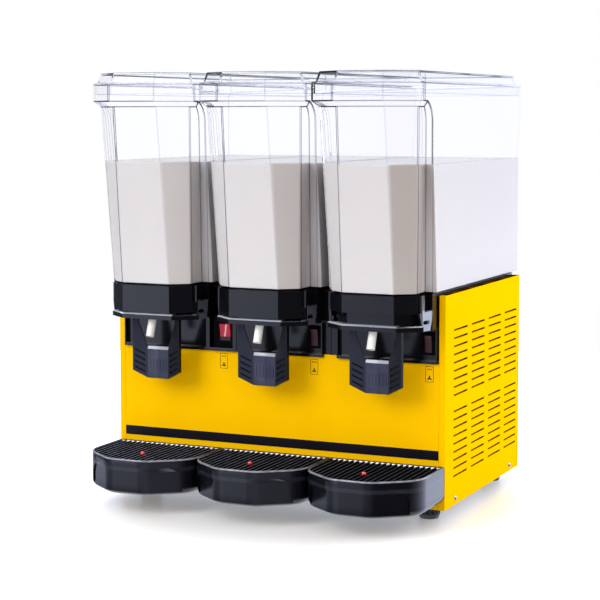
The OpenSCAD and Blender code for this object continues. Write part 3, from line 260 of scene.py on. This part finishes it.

# %% [markdown]
# ## Pieces with a finish of their own
# Some pieces differ from the rest of their material. The levers' pads are a lighter satin than the wings. Other
# layers are plain light or shade: painted highlights on the trays' rims, the seats' lips and lugs, the grids' bars
# and the levers' ledges, and painted shade in slots and recesses, laid into the colour where the lamps below don't
# give the tone of the picture, so they stay the same under any other lamp.
# Each of these pieces gets the same recipe with more layers, and fields say where a layer lies.

# %% Switches and cabinet
# The main rocker is lit from behind. A glint across it and the shade on its lower half are laid into its colour
glint = product(tilted((1, 0, 0.22), 0.1478, 0.1490, 2 * PITCH), tilted((1, 0, 0.22), 0.1517, 0.1505, 2 * PITCH),
                slide("Z", 0.267, 0.272))
lit = finish("lit_red_polycarbonate", "#A81030", 0.2, 1.2, 0.006,
             layers=[("#F7B9C4", glint), ("#1C0408", slide("Z", 0.2712, 0.2698))],
             fields={"Emission Strength": slide("Z", 0.2698, 0.2712, 0.0, 0.14)}, Emission_Color=linear("#D8102E"))
# The other rockers are off, so their red is nearly black
unlit = finish("unlit_red_polycarbonate", "#3C0812", 0.22, 1.2, 0.006)
# Switch housings: matt nylon that mirrors next to nothing
housings = finish("matt_black_nylon", "#060607", 0.55, 0.8, 0.02, Specular_IOR_Level=0.05)
# Main switch panel: glossy, with the shade of the recess round the switch laid into its colour
bay = product(slide("X", -0.1185, -0.1175), slide("X", -0.0735, -0.0745), slide("Y", -0.1235, -0.1225))
bay_panel = finish("recessed_black_ABS", "#0C0D12", 0.17, 2.5, 0.006, layers=[("#050506", bay)],
                   fields={"Specular IOR Level": graded(bay, 0, 1, 0.5, 0.03)})
# Side panels: shade is painted into the louvres. A slit is brown, and darkest at its rear end
inside = product(slide("X", 0.2848, 0.2838, fold=(1,)), slide("Y", -0.112, -0.109))
slit_end = product(inside, slide("Y", -0.06, -0.022, span=(-0.0805, 0.005)))
louvred = finish("louvred_powder_coat", "#FFC400", 0.45, 2.2, 0.012, drift=0.02, Specular_IOR_Level=0.0,
                 layers=[("#6E4A05", inside), ("#241503", slit_end)])
# Top deck: only narrow strips show, in the shade between the seats, so that shade is painted on as a dark brown
deck = finish("shade_painted_powder_coat", "#3A2C08", 0.6, 2.2, 0.012, Specular_IOR_Level=0.02)
SPECIAL = {"switch_rocker_left": lit, "switch_rocker_middle": unlit, "switch_rocker_right": unlit,
           "switch_bodies": housings, "switch_panel_left": bay_panel, "top_deck": deck,
           "left_side_panel": louvred, "right_side_panel": louvred}
print("switches and cabinet:", len(SPECIAL), "finishes of their own")

# %% Seats, levers, trays and floats
# Bowl seats: glossy, with painted highlights on the lip's upper edge and on the slotted lugs beside it
lug_highlight = product(slide("X", 0.0728, 0.0734, fold=(PITCH,)), slide("Y", -0.1690, -0.1686),
              slide("Y", -0.1455, -0.1460), slide("Z", 0.3335, 0.3325), slide("X", 0.15, 0.2, 0.25, 1.0))
lip_highlight = product(slide("Z", 0.3088, 0.3092), slide("Z", 0.3113, 0.3110), slide("Y", -0.1680, -0.1684),
              slide("X", 0.046, 0.044, span=UNIT), slide("X", 0.1, 0.2, 1.0, 0.6))
seats = finish("glossy_seat_ABS", "#0C0D12", 0.17, 2.5, 0.006, layers=[("#8E96AB", lug_highlight), ("#B4BAC8", lip_highlight)])
# Levers: the pad that the glasses press is a lighter satin than the wings, with a painted highlight along its upper
# edge. The shade of the right-hand wings and of the grooves is laid into the colour
pad = slide("X", 0.0190, 0.0183, fold=(PITCH,))
ledge_highlight = product(pad, slide("Z", 0.2488, 0.2493), slide("Z", 0.256, 0.2555))
right_wing = slide("X", -0.001, 0.001, span=UNIT)
grooves = tilted((0.2756, 0.9613, 0), -0.1513, -0.1509, PITCH)
levers = finish("moulded_lever_ABS", "#262939", 0.24, 1.6, 0.012,
                layers=[("#14151B", right_wing), ("#050507", grooves), ("#323548", pad), ("#9DA1AE", ledge_highlight)],
                fields={"Specular IOR Level": graded(right_wing, 0, 1, 0.5, 0.2)})
# Grids: black bars that mirror nothing, with a painted highlight along the top, and a painted white highlight on the
# glossy edge at the rear between them
bar_highlight = product(slide("X", 0.0013, 0.0009, fold=BARS), slide("Z", 0.0874, 0.0877), speckle(3, 0.3, 1.0),
                   slide("X", -0.2, 0.2, 1.0, 0.2))
rear_highlight = product(slide("Y", -0.1279, -0.1276), slide("Y", -0.1244, -0.1248), slide("X", 0.0018, 0.0020, fold=BARS))
grids = finish("satin_black_ABS", "#0B0B0D", 0.4, 1.5, 0.01, layers=[("#7E879F", bar_highlight), ("#F4F6FA", rear_highlight)],
               fields={"IOR": slide("Y", -0.1279, -0.1276, 1.01, 1.5)}, IOR=1.01, Specular_IOR_Level=1.0)
# Trays: glossy, but dull with dust at the lower edge, and a painted highlight along the rim. A greyer tone at the right
# of two fronts and in the cove is light that is laid into the colour
right_front = product(slide("X", 0.02, 0.035, span=UNIT), slide("X", 0.12, 0.08), slide("X", 0.086, 0.074, span=UNIT))
cove = product(slide("Z", 0.0690, 0.0710), slide("Z", 0.0775, 0.0755))
rim_highlight = product(slide("Z", 0.0866, 0.0871), speckle(9, 0.6, 1.0), slide("Y", -0.17, -0.21, 0.2, 1.0))
trays = finish("glossy_tray_ABS", "#0C0D12", 0.17, 2.5, 0.006,
               layers=[("#26272F", right_front), ("#20222B", cove), ("#8F92A2", rim_highlight)],
               fields={"Specular IOR Level": product(slide("Z", 0.034, 0.05, 0.15, 0.5),
                                                     slide("Z", 0.0882, 0.0886, 1.0, 0.1))})
# Floats: a livelier red than the switches
vivid = finish("vivid_red_polypropylene", "#D0140F", 0.3, 1.2, 0.008)
for side in SIDES:
    SPECIAL |= {"drip_grid_" + side: grids, "drip_tray_" + side: trays, "level_float_" + side: vivid,
                "tap_lever_" + side: levers, "bowl_seat_" + side: seats}
print("in all", len(SPECIAL), "pieces with a finish of their own")

# %% [markdown]
# ## Clear plastic
# The bowls and lids are moulded polycarbonate with thin, even walls. Such a wall hardly bends what is behind it, so
# a full index of refraction would draw lenses that the real bowl doesn't have: the body gets an index close to
# air's, and a clear coat over it mirrors the room as polycarbonate does. Along an edge one looks through a long way
# of plastic, so each edge draws a thin blue-grey line. The bevels that round the edges get a material of their own
# for that. Lamps have to reach the drink through the bowl, so shadow rays pass through a nearly clear filter.

# %% Clear polycarbonate, faces and edges
def clear_plastic(name, tint_of, coat):
    """Transmitting plastic with its tint from tint_of(tree) and a clear coat of weight coat. Shadow rays pass."""
    made, tree = empty_material(name)
    skin = add(tree, "ShaderNodeBsdfPrincipled",
               {"Roughness": 0.01, "IOR": 1.06, "Transmission Weight": 1.0, "Coat Weight": coat, "Coat IOR": 1.58,
                "Coat Roughness": 0.02}, {"Base Color": tint_of(tree)})
    path = add(tree, "ShaderNodeLightPath")
    through = add(tree, "ShaderNodeBsdfTransparent", {"Color": linear("#F8F9FC")})
    both = add(tree, "ShaderNodeMixShader", links={0: path.outputs["Is Shadow Ray"], 1: skin.outputs["BSDF"],
                                                   2: through.outputs["BSDF"]})
    add(tree, "ShaderNodeOutputMaterial", links={"Surface": both.outputs["Shader"]})
    return made


def face_tint(tree):
    """White face on, and a pale blue towards grazing, where the way through the wall is longer; a slow noise lets
    the limit drift as a moulding's wall does."""
    place = add(tree, "ShaderNodeTexCoord").outputs["Object"]
    flow = add(tree, "ShaderNodeTexNoise", {"Scale": 1 / (45 * MM), "Detail": 1.0}, {"Vector": place})
    lift = add(tree, "ShaderNodeBump", {"Distance": 0.1 * MM}, {"Height": flow.outputs["Fac"]})
    turned = add(tree, "ShaderNodeLayerWeight", {"Blend": 0.5}, {"Normal": lift.outputs["Normal"]})
    late = add(tree, "ShaderNodeMapRange", {"From Min": 0.58, "From Max": 1.0}, {"Value": turned.outputs["Facing"]})
    return add(tree, "ShaderNodeMixRGB", {"Color1": linear("#FFFFFF"), "Color2": linear("#D6D9E8")},
               {"Fac": late.outputs["Result"]}).outputs["Color"]


CLEAR_TURN, FULL_TURN = 0.06, 0.32      # 1 minus the cosine of an edge's angle to the eye: no tint yet, full tint


def edge_tint(axis, start, end, first, second):
    """A tint that goes from colour first to colour second between two places along an axis. It comes up where the
    rounded edge turns away from the eye, and an edge that is seen face on stays clear."""
    def tint(tree):
        place = add(tree, "ShaderNodeTexCoord").outputs["Object"]
        deep = add(tree, "ShaderNodeMixRGB", {"Color1": linear(first), "Color2": linear(second)},
                   {"Fac": slide(axis, start, end)(tree, place)})
        turned = add(tree, "ShaderNodeLayerWeight", {"Blend": 0.5})
        shown = add(tree, "ShaderNodeMapRange", {"From Min": CLEAR_TURN, "From Max": FULL_TURN},
                    {"Value": turned.outputs["Facing"]})
        return add(tree, "ShaderNodeMixRGB", {"Color1": linear("#EEF0F7")},
                   {"Fac": shown.outputs["Result"], "Color2": deep.outputs["Color"]}).outputs["Color"]
    return tint


FINISH["clear_plastic"] = clear_plastic("clear_polycarbonate", face_tint, 0.15)
# Bowls: the prow's corners are the thickest, so their lines are dark, and the rear ones pale
BOWL_EDGE = clear_plastic("bowl_edge_polycarbonate", edge_tint("Y", -0.16, 0.1, "#1F2338", "#C9CDDB"), 0.3)
# Lids: one strong line along the raised top, faint ones along the skirt
LID_EDGE = clear_plastic("lid_edge_polycarbonate", edge_tint("Z", 0.682, 0.688, "#D4D7E4", "#1C2036"), 0.3)
print("clear plastic made")

# %% [markdown]
# ## Soft edges on the solids
# No moulded or folded edge is sharp: it has a radius of half a millimetre or more, and that radius catches the
# lamps as a thin bright line. The solids come as loose triangles, so the modifiers first weld them, then join the
# triangles of each flat face, then bevel the remaining edges. A small node group last shades shallow edges smooth.

# %% Welding, bevelling and shading by angle
def shade_group(limit):
    """Geometry nodes: faces smooth, and edges smooth only where their faces meet at less than limit radians."""
    group = bpy.data.node_groups.new("shade_below_angle", "GeometryNodeTree")
    for way in ("INPUT", "OUTPUT"):
        group.interface.new_socket("Geometry", in_out=way, socket_type="NodeSocketGeometry")
    start = add(group, "NodeGroupInput")
    plain = add(group, "GeometryNodeRemoveAttribute", {"Name": "custom_normal"}, {"Geometry": start.outputs[0]})
    angle = add(group, "GeometryNodeInputMeshEdgeAngle").outputs["Unsigned Angle"]
    shallow = add(group, "FunctionNodeCompare", {"operation": "LESS_THAN", "B": limit}, {"A": angle})
    faces = add(group, "GeometryNodeSetShadeSmooth", {"domain": "FACE"}, {"Geometry": plain.outputs[0]})
    edges = add(group, "GeometryNodeSetShadeSmooth", {"domain": "EDGE"},
                {"Geometry": faces.outputs[0], "Shade Smooth": shallow.outputs["Result"]})
    add(group, "NodeGroupOutput", links={"Geometry": edges.outputs[0]})
    return group


EDGE_ANGLE, FLAT_ANGLE = np.radians(32), np.radians(0.2)
WELD_MM = 0.01
SMOOTH = shade_group(EDGE_ANGLE)


def soften(obj, radius_mm):
    """Welds points closer than WELD_MM, joins triangles that lie flat, bevels edges over EDGE_ANGLE by radius_mm. Where
    an object has two materials, the second one goes to the bevels. Normals weighted by area keep large faces flat."""
    obj.modifiers.new("weld", "WELD").merge_threshold = WELD_MM * MM
    flat = obj.modifiers.new("join", "DECIMATE")
    flat.decimate_type = "DISSOLVE"
    flat.angle_limit = FLAT_ANGLE
    if radius_mm:
        edge = obj.modifiers.new("edge", "BEVEL")
        edge.limit_method = "ANGLE"
        edge.angle_limit = EDGE_ANGLE
        edge.width = radius_mm * MM
        edge.segments = 2
        edge.use_clamp_overlap = len(obj.data.materials) == 1
        edge.material = len(obj.data.materials) - 1
    obj.modifiers.new("shade", "NODES").node_group = SMOOTH
    weigh = obj.modifiers.new("weigh", "WEIGHTED_NORMAL")
    weigh.weight = 100
    weigh.keep_sharp = True


print("edges over", round(float(np.degrees(EDGE_ANGLE))), "degrees are softened")

# %% A finish and soft edges for every solid
EDGE_MM = {"bowl": 1.1, "bowl_lid": 1.3, "bowl_seat": 0.7, "tap_lever": 0.6, "switch_panel": 0.6, "drip_tray": 0.8,
           "drip_grid": 0.5, "front_panel": 0.8, "left_side_panel": 0.8, "right_side_panel": 0.8, "rear_panel": 0.8,
           "top_deck": 0.8, "trim_strip": 0.2, "switch_rocker": 0.5, "switch_bodies": 0.5, "feet": 0.8,
           "level_float": 0.5}
for name, obj in nodes.items():
    kind = name
    for side in SIDES:
        kind = kind.removesuffix("_" + side)
    obj.data.materials.clear()
    obj.data.materials.append(SPECIAL.get(name, FINISH[slot_of[name]]))
    if slot_of[name] == "clear_plastic":
        obj.data.materials.append(LID_EDGE if kind == "bowl_lid" else BOWL_EDGE)
    soften(obj, EDGE_MM.get(kind, 0))
print("finished", len(nodes), "nodes")

# %% [markdown]
# ## A surface from a grid of points
# Every new piece below is a grid: rows of points that go round or along a shape, computed as whole arrays. Putting
# such a grid into a mesh is always the same work: number the points, make the quads, close the seam and weld the
# poles, where a row has shrunk to one point.

# %% Grid to mesh
def surface(name, points, body, material, edge_mm=0.0):
    """Quad (i, j) joins points i, j; i, j + 1; i + 1, j + 1 and i + 1, j. The last column meets the first."""
    rows, columns = points.shape[:2]
    index = np.arange(rows * columns).reshape(rows, columns)
    index = np.concatenate([index, index[:, :1]], axis=1)
    quads = np.stack([index[:-1, :-1], index[:-1, 1:], index[1:, 1:], index[1:, :-1]], axis=-1).reshape(-1, 4)
    mesh = bpy.data.meshes.new(name)
    mesh.from_pydata(points.reshape(-1, 3).tolist(), [], quads.tolist())
    work = bmesh.new()
    work.from_mesh(mesh)
    bmesh.ops.remove_doubles(work, verts=work.verts, dist=1e-6)
    bmesh.ops.recalc_face_normals(work, faces=work.faces)
    work.to_mesh(mesh)
    work.free()
    obj = bpy.data.objects.new(name, mesh)
    bpy.context.scene.collection.objects.link(obj)
    mesh.materials.append(material)
    soften(obj, edge_mm)
    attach(obj, body)
    return obj


print("grid helper ready")

# %% [markdown]
# ## The drink
# The bowls are about two thirds full of a white drink. It fills the bowl's inside from wall to wall, leaves out the
# cold cylinder in the middle and ends in a level top. One grid makes it: a ring of points runs down the well, out
# over the floor, up the wall and back in over the top. It reaches a little into the bowl's wall, so no film of air
# shows.

# %% Shape of the drink
DECK = Vector((0, -120 * MM, 21 * MM))          # front edge of the cabinet's underside, in the part's frame
WALL_IN = 2.6                                   # how far the drink lies inside the bowl's outer face
LOW = dict(front=-82, half=42, side=71, z=335)  # bowl's prow at its floor, mm
HIGH = dict(front=-114, half=38.5, side=80.5, z=618)    # and under its rim
NICHE_LOW, NICHE_HIGH, NICHE_Z = -24, -48, 591.5        # where the sides step out: at the floor, and at its top
WIDE, REAR = 91.5, 390                          # half width behind the niche, and rear wall
SLOPE = np.radians(39)                          # how far the prow's slanting faces are turned from the front
WELL_Y, WELL_R, WELL_TOP = 150, 59.2, 519       # room for the cylinder
FLOOR_Z, DRINK_Z = 338.2, 532


def bowl_outline(z, per_side=8):
    """Outline of the bowl's inside at height z: the prow's sizes go in a straight line from LOW to HIGH, the sides
    step out to WIDE behind the niche. Points run once round, per_side to each straight."""
    t = (z - LOW["z"]) / (HIGH["z"] - LOW["z"])
    front, half, side = (LOW[k] + (HIGH[k] - LOW[k]) * t for k in ("front", "half", "side"))
    niche = NICHE_LOW + (NICHE_HIGH - NICHE_LOW) * (z - LOW["z"]) / (NICHE_Z - LOW["z"])
    corner = front + (side - half) * np.tan(SLOPE)
    right = np.array([[half - WALL_IN * np.tan(SLOPE / 2), front + WALL_IN], [side - WALL_IN, corner],
                      [side - WALL_IN, niche + WALL_IN], [WIDE - WALL_IN, niche + WALL_IN],
                      [WIDE - WALL_IN, REAR - WALL_IN]])
    ring = np.concatenate([right, right[::-1] * [-1, 1]])
    step = np.linspace(0, 1, per_side, endpoint=False)[None, :, None]
    return (ring[:, None] * (1 - step) + np.roll(ring, -1, axis=0)[:, None] * step).reshape(-1, 2)


def drink_surface(centre_x):
    """Rows: well top's middle, well top, well foot, floor's edge, top's edge, top's middle."""
    wall, top = bowl_outline(FLOOR_Z), bowl_outline(DRINK_Z)
    turn = np.arctan2(wall[:, 1] - WELL_Y, wall[:, 0])
    well = np.stack([WELL_R * np.cos(turn), WELL_Y + WELL_R * np.sin(turn)], axis=1)
    middle = np.zeros_like(well) + [0, WELL_Y]
    rows = [(middle, WELL_TOP), (well, WELL_TOP), (well, FLOOR_Z), (wall, FLOOR_Z), (top, DRINK_Z), (middle, DRINK_Z)]
    points = np.stack([np.column_stack([ring, np.full(len(ring), float(z))]) for ring, z in rows])
    return (points + [centre_x, 0, 0]) * MM + DECK


print("drink level", DRINK_Z, "mm above the cabinet's underside")

# %% Drink in each bowl
# Almond drink: milky and soft. The shade of the prow's right-hand slopes and of the upper sides is laid into its colour
slope = product(slide("X", 0.039, 0.043, span=UNIT), slide("Y", -0.15, -0.16), slide("X", -0.15, 0.24, 0.3, 1.0))
flank = product(slide("X", 0.084, 0.087, span=UNIT), slide("Z", 0.4, 0.53, 0.3, 1.0))
DRINK = finish("white_almond_drink", "#C5C2C4", 0.22, 14, 0.02, drift=0.01,
               layers=[("#A6A09E", slope), ("#B6B4B5", flank)], Subsurface_Weight=0.6,
               Subsurface_Radius=(1.0, 0.7, 0.55), Subsurface_Scale=0.012)
for side in SIDES:
    low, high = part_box("bowl_" + side)
    surface("drink_" + side, drink_surface((low.x + high.x) / 2 / MM), f"bowl_{side}_body", DRINK,
            edge_mm=1.5)
print("drink in", len(SIDES), "bowls")

# %% [markdown]
# ## Labels under the switches
# Under each switch sits a printed label: a thin outline, a row of dots and a small picture, three petals for a
# stirrer. Each line is a ribbon, a closed curve drawn twice at two distances from its middle line, and each dot or
# petal is a fan of points round its centre. All of them stand about a tenth of a millimetre proud of the sheet.

# %% Closed curves and print
PRINT_MM = 0.12     # how far the ink stands before the sheet


def oval(x, z, a, b, lean=0.0, count=24):
    """Points round an ellipse of half axes a and b whose long axis leans by lean radians."""
    t = np.linspace(0, 2 * np.pi, count, endpoint=False)
    u, v = a * np.cos(t), b * np.sin(t)
    return np.stack([x + u * np.cos(lean) - v * np.sin(lean), z + u * np.sin(lean) + v * np.cos(lean)], axis=1)


def rounded(x, z, half_w, half_h, radius, count=6):
    """Points round an upright rectangle with corners of that radius."""
    t = np.linspace(0, np.pi / 2, count)
    ring = [np.stack([sx * (half_w - radius) + radius * np.cos(t + k * np.pi / 2),
                      sz * (half_h - radius) + radius * np.sin(t + k * np.pi / 2)], axis=1)
            for k, (sx, sz) in enumerate([(1, 1), (-1, 1), (-1, -1), (1, -1)])]
    return np.concatenate(ring) + [x, z]


def printed(name, inner, outer):
    """Four rows of points: inner curve at the sheet, inner and outer curve PRINT_MM before it, outer at the sheet."""
    rows = [(inner, 0), (inner, -PRINT_MM), (outer, -PRINT_MM), (outer, 0)]
    points = np.stack([np.column_stack([c[:, 0], np.full(len(c), y), c[:, 1]]) for c, y in rows])
    return surface(name, points * MM + DECK, "cabinet", FINISH["black_film"])


print("ink stands", PRINT_MM, "mm proud")

# %% Labels
LABELS = {"left": (-92.4, 209.5), "middle": (66.7, 209.5), "right": (259.4, 209.5)}     # middles, mm
HALF_W, HALF_H, LINE = 6.0, 11.6, 0.7       # outline: half width, half height and thickness of its line
CORNER_IN, CORNER_OUT = 0.8, 1.4
DOT_R, DOT_STEP, DOT_UP = 0.9, 2.8, 7.6
PETAL_A, PETAL_B, PETAL_OUT, PETAL_DOWN = 1.9, 1.2, 2.0, 6.0
for side, (x, z) in LABELS.items():
    printed("label_frame_" + side, rounded(x, z, HALF_W, HALF_H, CORNER_IN),
            rounded(x, z, HALF_W + LINE, HALF_H + LINE, CORNER_OUT))
    marks = [(x + k * DOT_STEP, z + DOT_UP, DOT_R, DOT_R, 0.0) for k in (-1, 0, 1)]
    marks += [(x + PETAL_OUT * np.cos(t), z - PETAL_DOWN + PETAL_OUT * np.sin(t), PETAL_A, PETAL_B, t)
              for t in np.radians([90, 210, 330])]
    for k, (u, v, a, b, lean) in enumerate(marks):
        edge = oval(u, v, a, b, lean)
        printed(f"label_mark_{side}_{k}", np.zeros_like(edge) + [u, v], edge)
print("labels under", len(LABELS), "switches")

# %% [markdown]
# ## Stage
# A white floor takes a soft shadow, and the room behind it is white for the camera. Glossy black plastic is only as
# lively as the room it mirrors, so the world also holds a plain studio: bright behind and at the left front, with a
# dark flag at the right front and one at the left flank, which separate the facets.

# %% World
# What glossy surfaces mirror: degrees from the front towards the right, and the level of light there
ROOM = [(-180, 1.0), (-128, 1.0), (-112, 0.08), (-84, 0.08), (-64, 0.25), (-52, 0.6), (-42, 1.6), (-29, 1.5),
        (-21, 0.6), (-8, 0.28), (10, 0.2), (30, 0.03), (78, 0.03), (100, 0.5), (125, 1.3), (150, 1.9), (180, 1.2)]
FLOOR_AROUND = [(-180, 1.0), (-128, 1.0), (-112, 0.9), (-84, 0.45), (-64, 0.4), (-52, 0.6), (-42, 1.0), (-29, 0.95),
                (-21, 0.55), (-8, 0.4), (10, 0.25), (30, 0.03), (78, 0.03), (100, 0.6), (125, 1.6), (150, 2.3),
                (180, 1.4)]
FLOOR_BELOW, LAMP_ABOVE = (1.9, 1.95, 2.1, 1), (11, 11.4, 12.2, 1)
WHITE = (1, 1, 1, 1)


def studio_world():
    """White for camera rays, even grey for diffuse rays. Mirrored rays see bands of light by compass angle, other ones
    from about 10 degrees down, where the floor lies, a strong lamp overhead from about 45 degrees up, and the floor
    close by from about 40 degrees down."""
    world = bpy.data.worlds.new("studio")
    world.use_nodes = True
    tree = world.node_tree
    tree.nodes.clear()
    way = add(tree, "ShaderNodeSeparateXYZ", links={"Vector": add(tree, "ShaderNodeTexCoord").outputs["Generated"]})
    south = add(tree, "ShaderNodeMath", {"operation": "MULTIPLY", 1: -1.0}, {0: way.outputs["Y"]})
    turn = add(tree, "ShaderNodeMath", {"operation": "ARCTAN2"}, {0: way.outputs["X"], 1: south.outputs[0]})
    share = add(tree, "ShaderNodeMapRange", {"From Min": -np.pi, "From Max": np.pi}, {"Value": turn.outputs[0]})

    def bands(stops):
        """A ramp of levels by compass angle, slightly blue."""
        ring = add(tree, "ShaderNodeValToRGB", links={"Fac": share.outputs["Result"]})
        ramp = ring.color_ramp
        while len(ramp.elements) < len(stops):
            ramp.elements.new(0.5)
        for stop, (degrees, level) in zip(ramp.elements, stops):
            stop.position = (degrees + 180) / 360
            stop.color = (level * 0.88, level * 0.94, level * 1.22, 1)
        return ring.outputs["Color"]

    near = add(tree, "ShaderNodeMapRange", {"From Min": -0.165, "From Max": -0.185}, {"Value": way.outputs["Z"]})
    around = add(tree, "ShaderNodeMixRGB", links={"Fac": near.outputs["Result"], "Color1": bands(ROOM),
                                                  "Color2": bands(FLOOR_AROUND)})
    below = add(tree, "ShaderNodeMapRange", {"From Min": -0.5, "From Max": -0.68}, {"Value": way.outputs["Z"]})
    ground = add(tree, "ShaderNodeMixRGB", {"Color2": FLOOR_BELOW},
                 {"Fac": below.outputs["Result"], "Color1": around.outputs["Color"]})
    above = add(tree, "ShaderNodeMapRange", {"From Min": 0.58, "From Max": 0.76}, {"Value": way.outputs["Z"]})
    dome = add(tree, "ShaderNodeMixRGB", {"Color2": LAMP_ABOVE},
               {"Fac": above.outputs["Result"], "Color1": ground.outputs["Color"]})
    path = add(tree, "ShaderNodeLightPath")
    straight = add(tree, "ShaderNodeMath", {"operation": "MAXIMUM"},
                   {0: path.outputs["Is Glossy Ray"], 1: path.outputs["Is Transmission Ray"]})
    clean = add(tree, "ShaderNodeMath", {"operation": "LESS_THAN", 1: 0.5}, {0: path.outputs["Diffuse Depth"]})
    mirrored = add(tree, "ShaderNodeMath", {"operation": "MULTIPLY"}, {0: straight.outputs[0], 1: clean.outputs[0]})
    # The drink's soft light counts twice, once as a shadow ray and once through the bowl, so the second way is dimmed
    soft = add(tree, "ShaderNodeMath", {"operation": "MULTIPLY_ADD", 1: -0.3, 2: 0.62},
               {0: path.outputs["Is Transmission Ray"]})
    even = add(tree, "ShaderNodeBackground", {"Color": WHITE}, {"Strength": soft.outputs[0]})
    # What shows through a bowl is nearly white, whatever its walls turn the ray to
    through = add(tree, "ShaderNodeMath", {"operation": "GREATER_THAN", 1: 0.5},
                  {0: path.outputs["Transmission Depth"]})
    veil = add(tree, "ShaderNodeMath", {"operation": "MULTIPLY", 1: 0.85}, {0: through.outputs[0]})
    room = add(tree, "ShaderNodeMixRGB", {"Color2": WHITE}, {"Fac": veil.outputs[0], "Color1": dome.outputs["Color"]})
    banded = add(tree, "ShaderNodeBackground", {"Strength": 1.0}, {"Color": room.outputs["Color"]})
    white = add(tree, "ShaderNodeBackground", {"Color": WHITE, "Strength": 1.0})
    inner = add(tree, "ShaderNodeMixShader", links={0: mirrored.outputs[0], 1: even.outputs[0], 2: banded.outputs[0]})
    outer = add(tree, "ShaderNodeMixShader", links={0: path.outputs["Is Camera Ray"], 1: inner.outputs[0],
                                                   2: white.outputs[0]})
    add(tree, "ShaderNodeOutputWorld", links={"Surface": outer.outputs[0]})
    return world


bpy.context.scene.world = studio_world()
print("world with", len(ROOM), "bands of light")

# %% Floor
FLOOR_R = 1.8                       # metres
FADE_FROM, FADE_TO = 0.3, 0.65      # distance from the middle, over which the floor fades to plain white


def white_floor():
    """White laminate: it takes the shadow as a diffuse surface, and glows for rays that show it, most further out."""
    made, tree = empty_material("white_laminate_floor")
    path = add(tree, "ShaderNodeLightPath")
    seen = add(tree, "ShaderNodeMath", {"operation": "MAXIMUM"},
               {0: path.outputs["Is Camera Ray"], 1: path.outputs["Is Glossy Ray"]})
    shown = add(tree, "ShaderNodeMath", {"operation": "MAXIMUM"},
                {0: seen.outputs[0], 1: path.outputs["Is Transmission Ray"]})
    away = add(tree, "ShaderNodeVectorMath", {"operation": "LENGTH"},
               {0: add(tree, "ShaderNodeTexCoord").outputs["Object"]})
    fade = add(tree, "ShaderNodeMapRange",
               {"From Min": FADE_FROM, "From Max": FADE_TO, "To Min": 0.18, "To Max": 1.0},
               {"Value": away.outputs["Value"]})
    glow = add(tree, "ShaderNodeMath", {"operation": "MULTIPLY"}, {0: shown.outputs[0], 1: fade.outputs["Result"]})
    skin = add(tree, "ShaderNodeBsdfPrincipled",
               {"Base Color": linear("#F4F4F4"), "Roughness": 0.3, "Emission Color": WHITE},
               {"Emission Strength": glow.outputs[0]})
    add(tree, "ShaderNodeOutputMaterial", links={"Surface": skin.outputs["BSDF"]})
    return made


turn = np.linspace(0, 2 * np.pi, 96, endpoint=False)
disc = np.stack([np.cos(turn), np.sin(turn), 0 * turn], axis=1) * FLOOR_R
floor_mesh = bpy.data.meshes.new("floor")
floor_mesh.from_pydata(disc.tolist(), [], [tuple(range(len(turn)))])
floor_mesh.materials.append(white_floor())
floor = bpy.data.objects.new("floor", floor_mesh)
bpy.context.scene.collection.objects.link(floor)
floor.visible_glossy = False
print("floor", 2 * FLOOR_R, "m across")

# %% [markdown]
# ## Lamps
# Two large soft lamps do most of the work: one from the front left models the front, and one from the right rear
# brightens the right-hand faces. Large lamps give the broad, soft-edged highlights that show gloss without glare. A
# weak, slightly warm fill from the right front lightens the shaded facets, and black plastic doesn't mirror it.

# %% Softboxes
def softbox(name, place, target, size, watts, colour="#FFFFFF"):
    """A rectangular area lamp at place that faces target."""
    lamp = bpy.data.lights.new(name, "AREA")
    lamp.shape = "RECTANGLE"
    lamp.size, lamp.size_y = size
    lamp.energy = watts
    lamp.color = linear(colour)[:3]
    obj = bpy.data.objects.new(name, lamp)
    obj.location = place
    obj.rotation_euler = (Vector(target) - Vector(place)).to_track_quat("-Z", "Y").to_euler()
    obj.visible_camera = False
    obj.visible_transmission = False
    bpy.context.scene.collection.objects.link(obj)
    return obj


softbox("front_left_softbox", (-1.1, -2.3, 1.6), (0, 0, 0.35), (1.6, 1.6), 47)
softbox("rear_right_softbox", (1.9, 1.3, 1.0), (0.2, 0, 0.35), (2.2, 1.9), 36)
fill = softbox("right_front_fill", (1.9, -1.7, 1.0), (0, 0, 0.4), (1.2, 1.2), 13, "#FFEAD6")
fill.visible_glossy = False
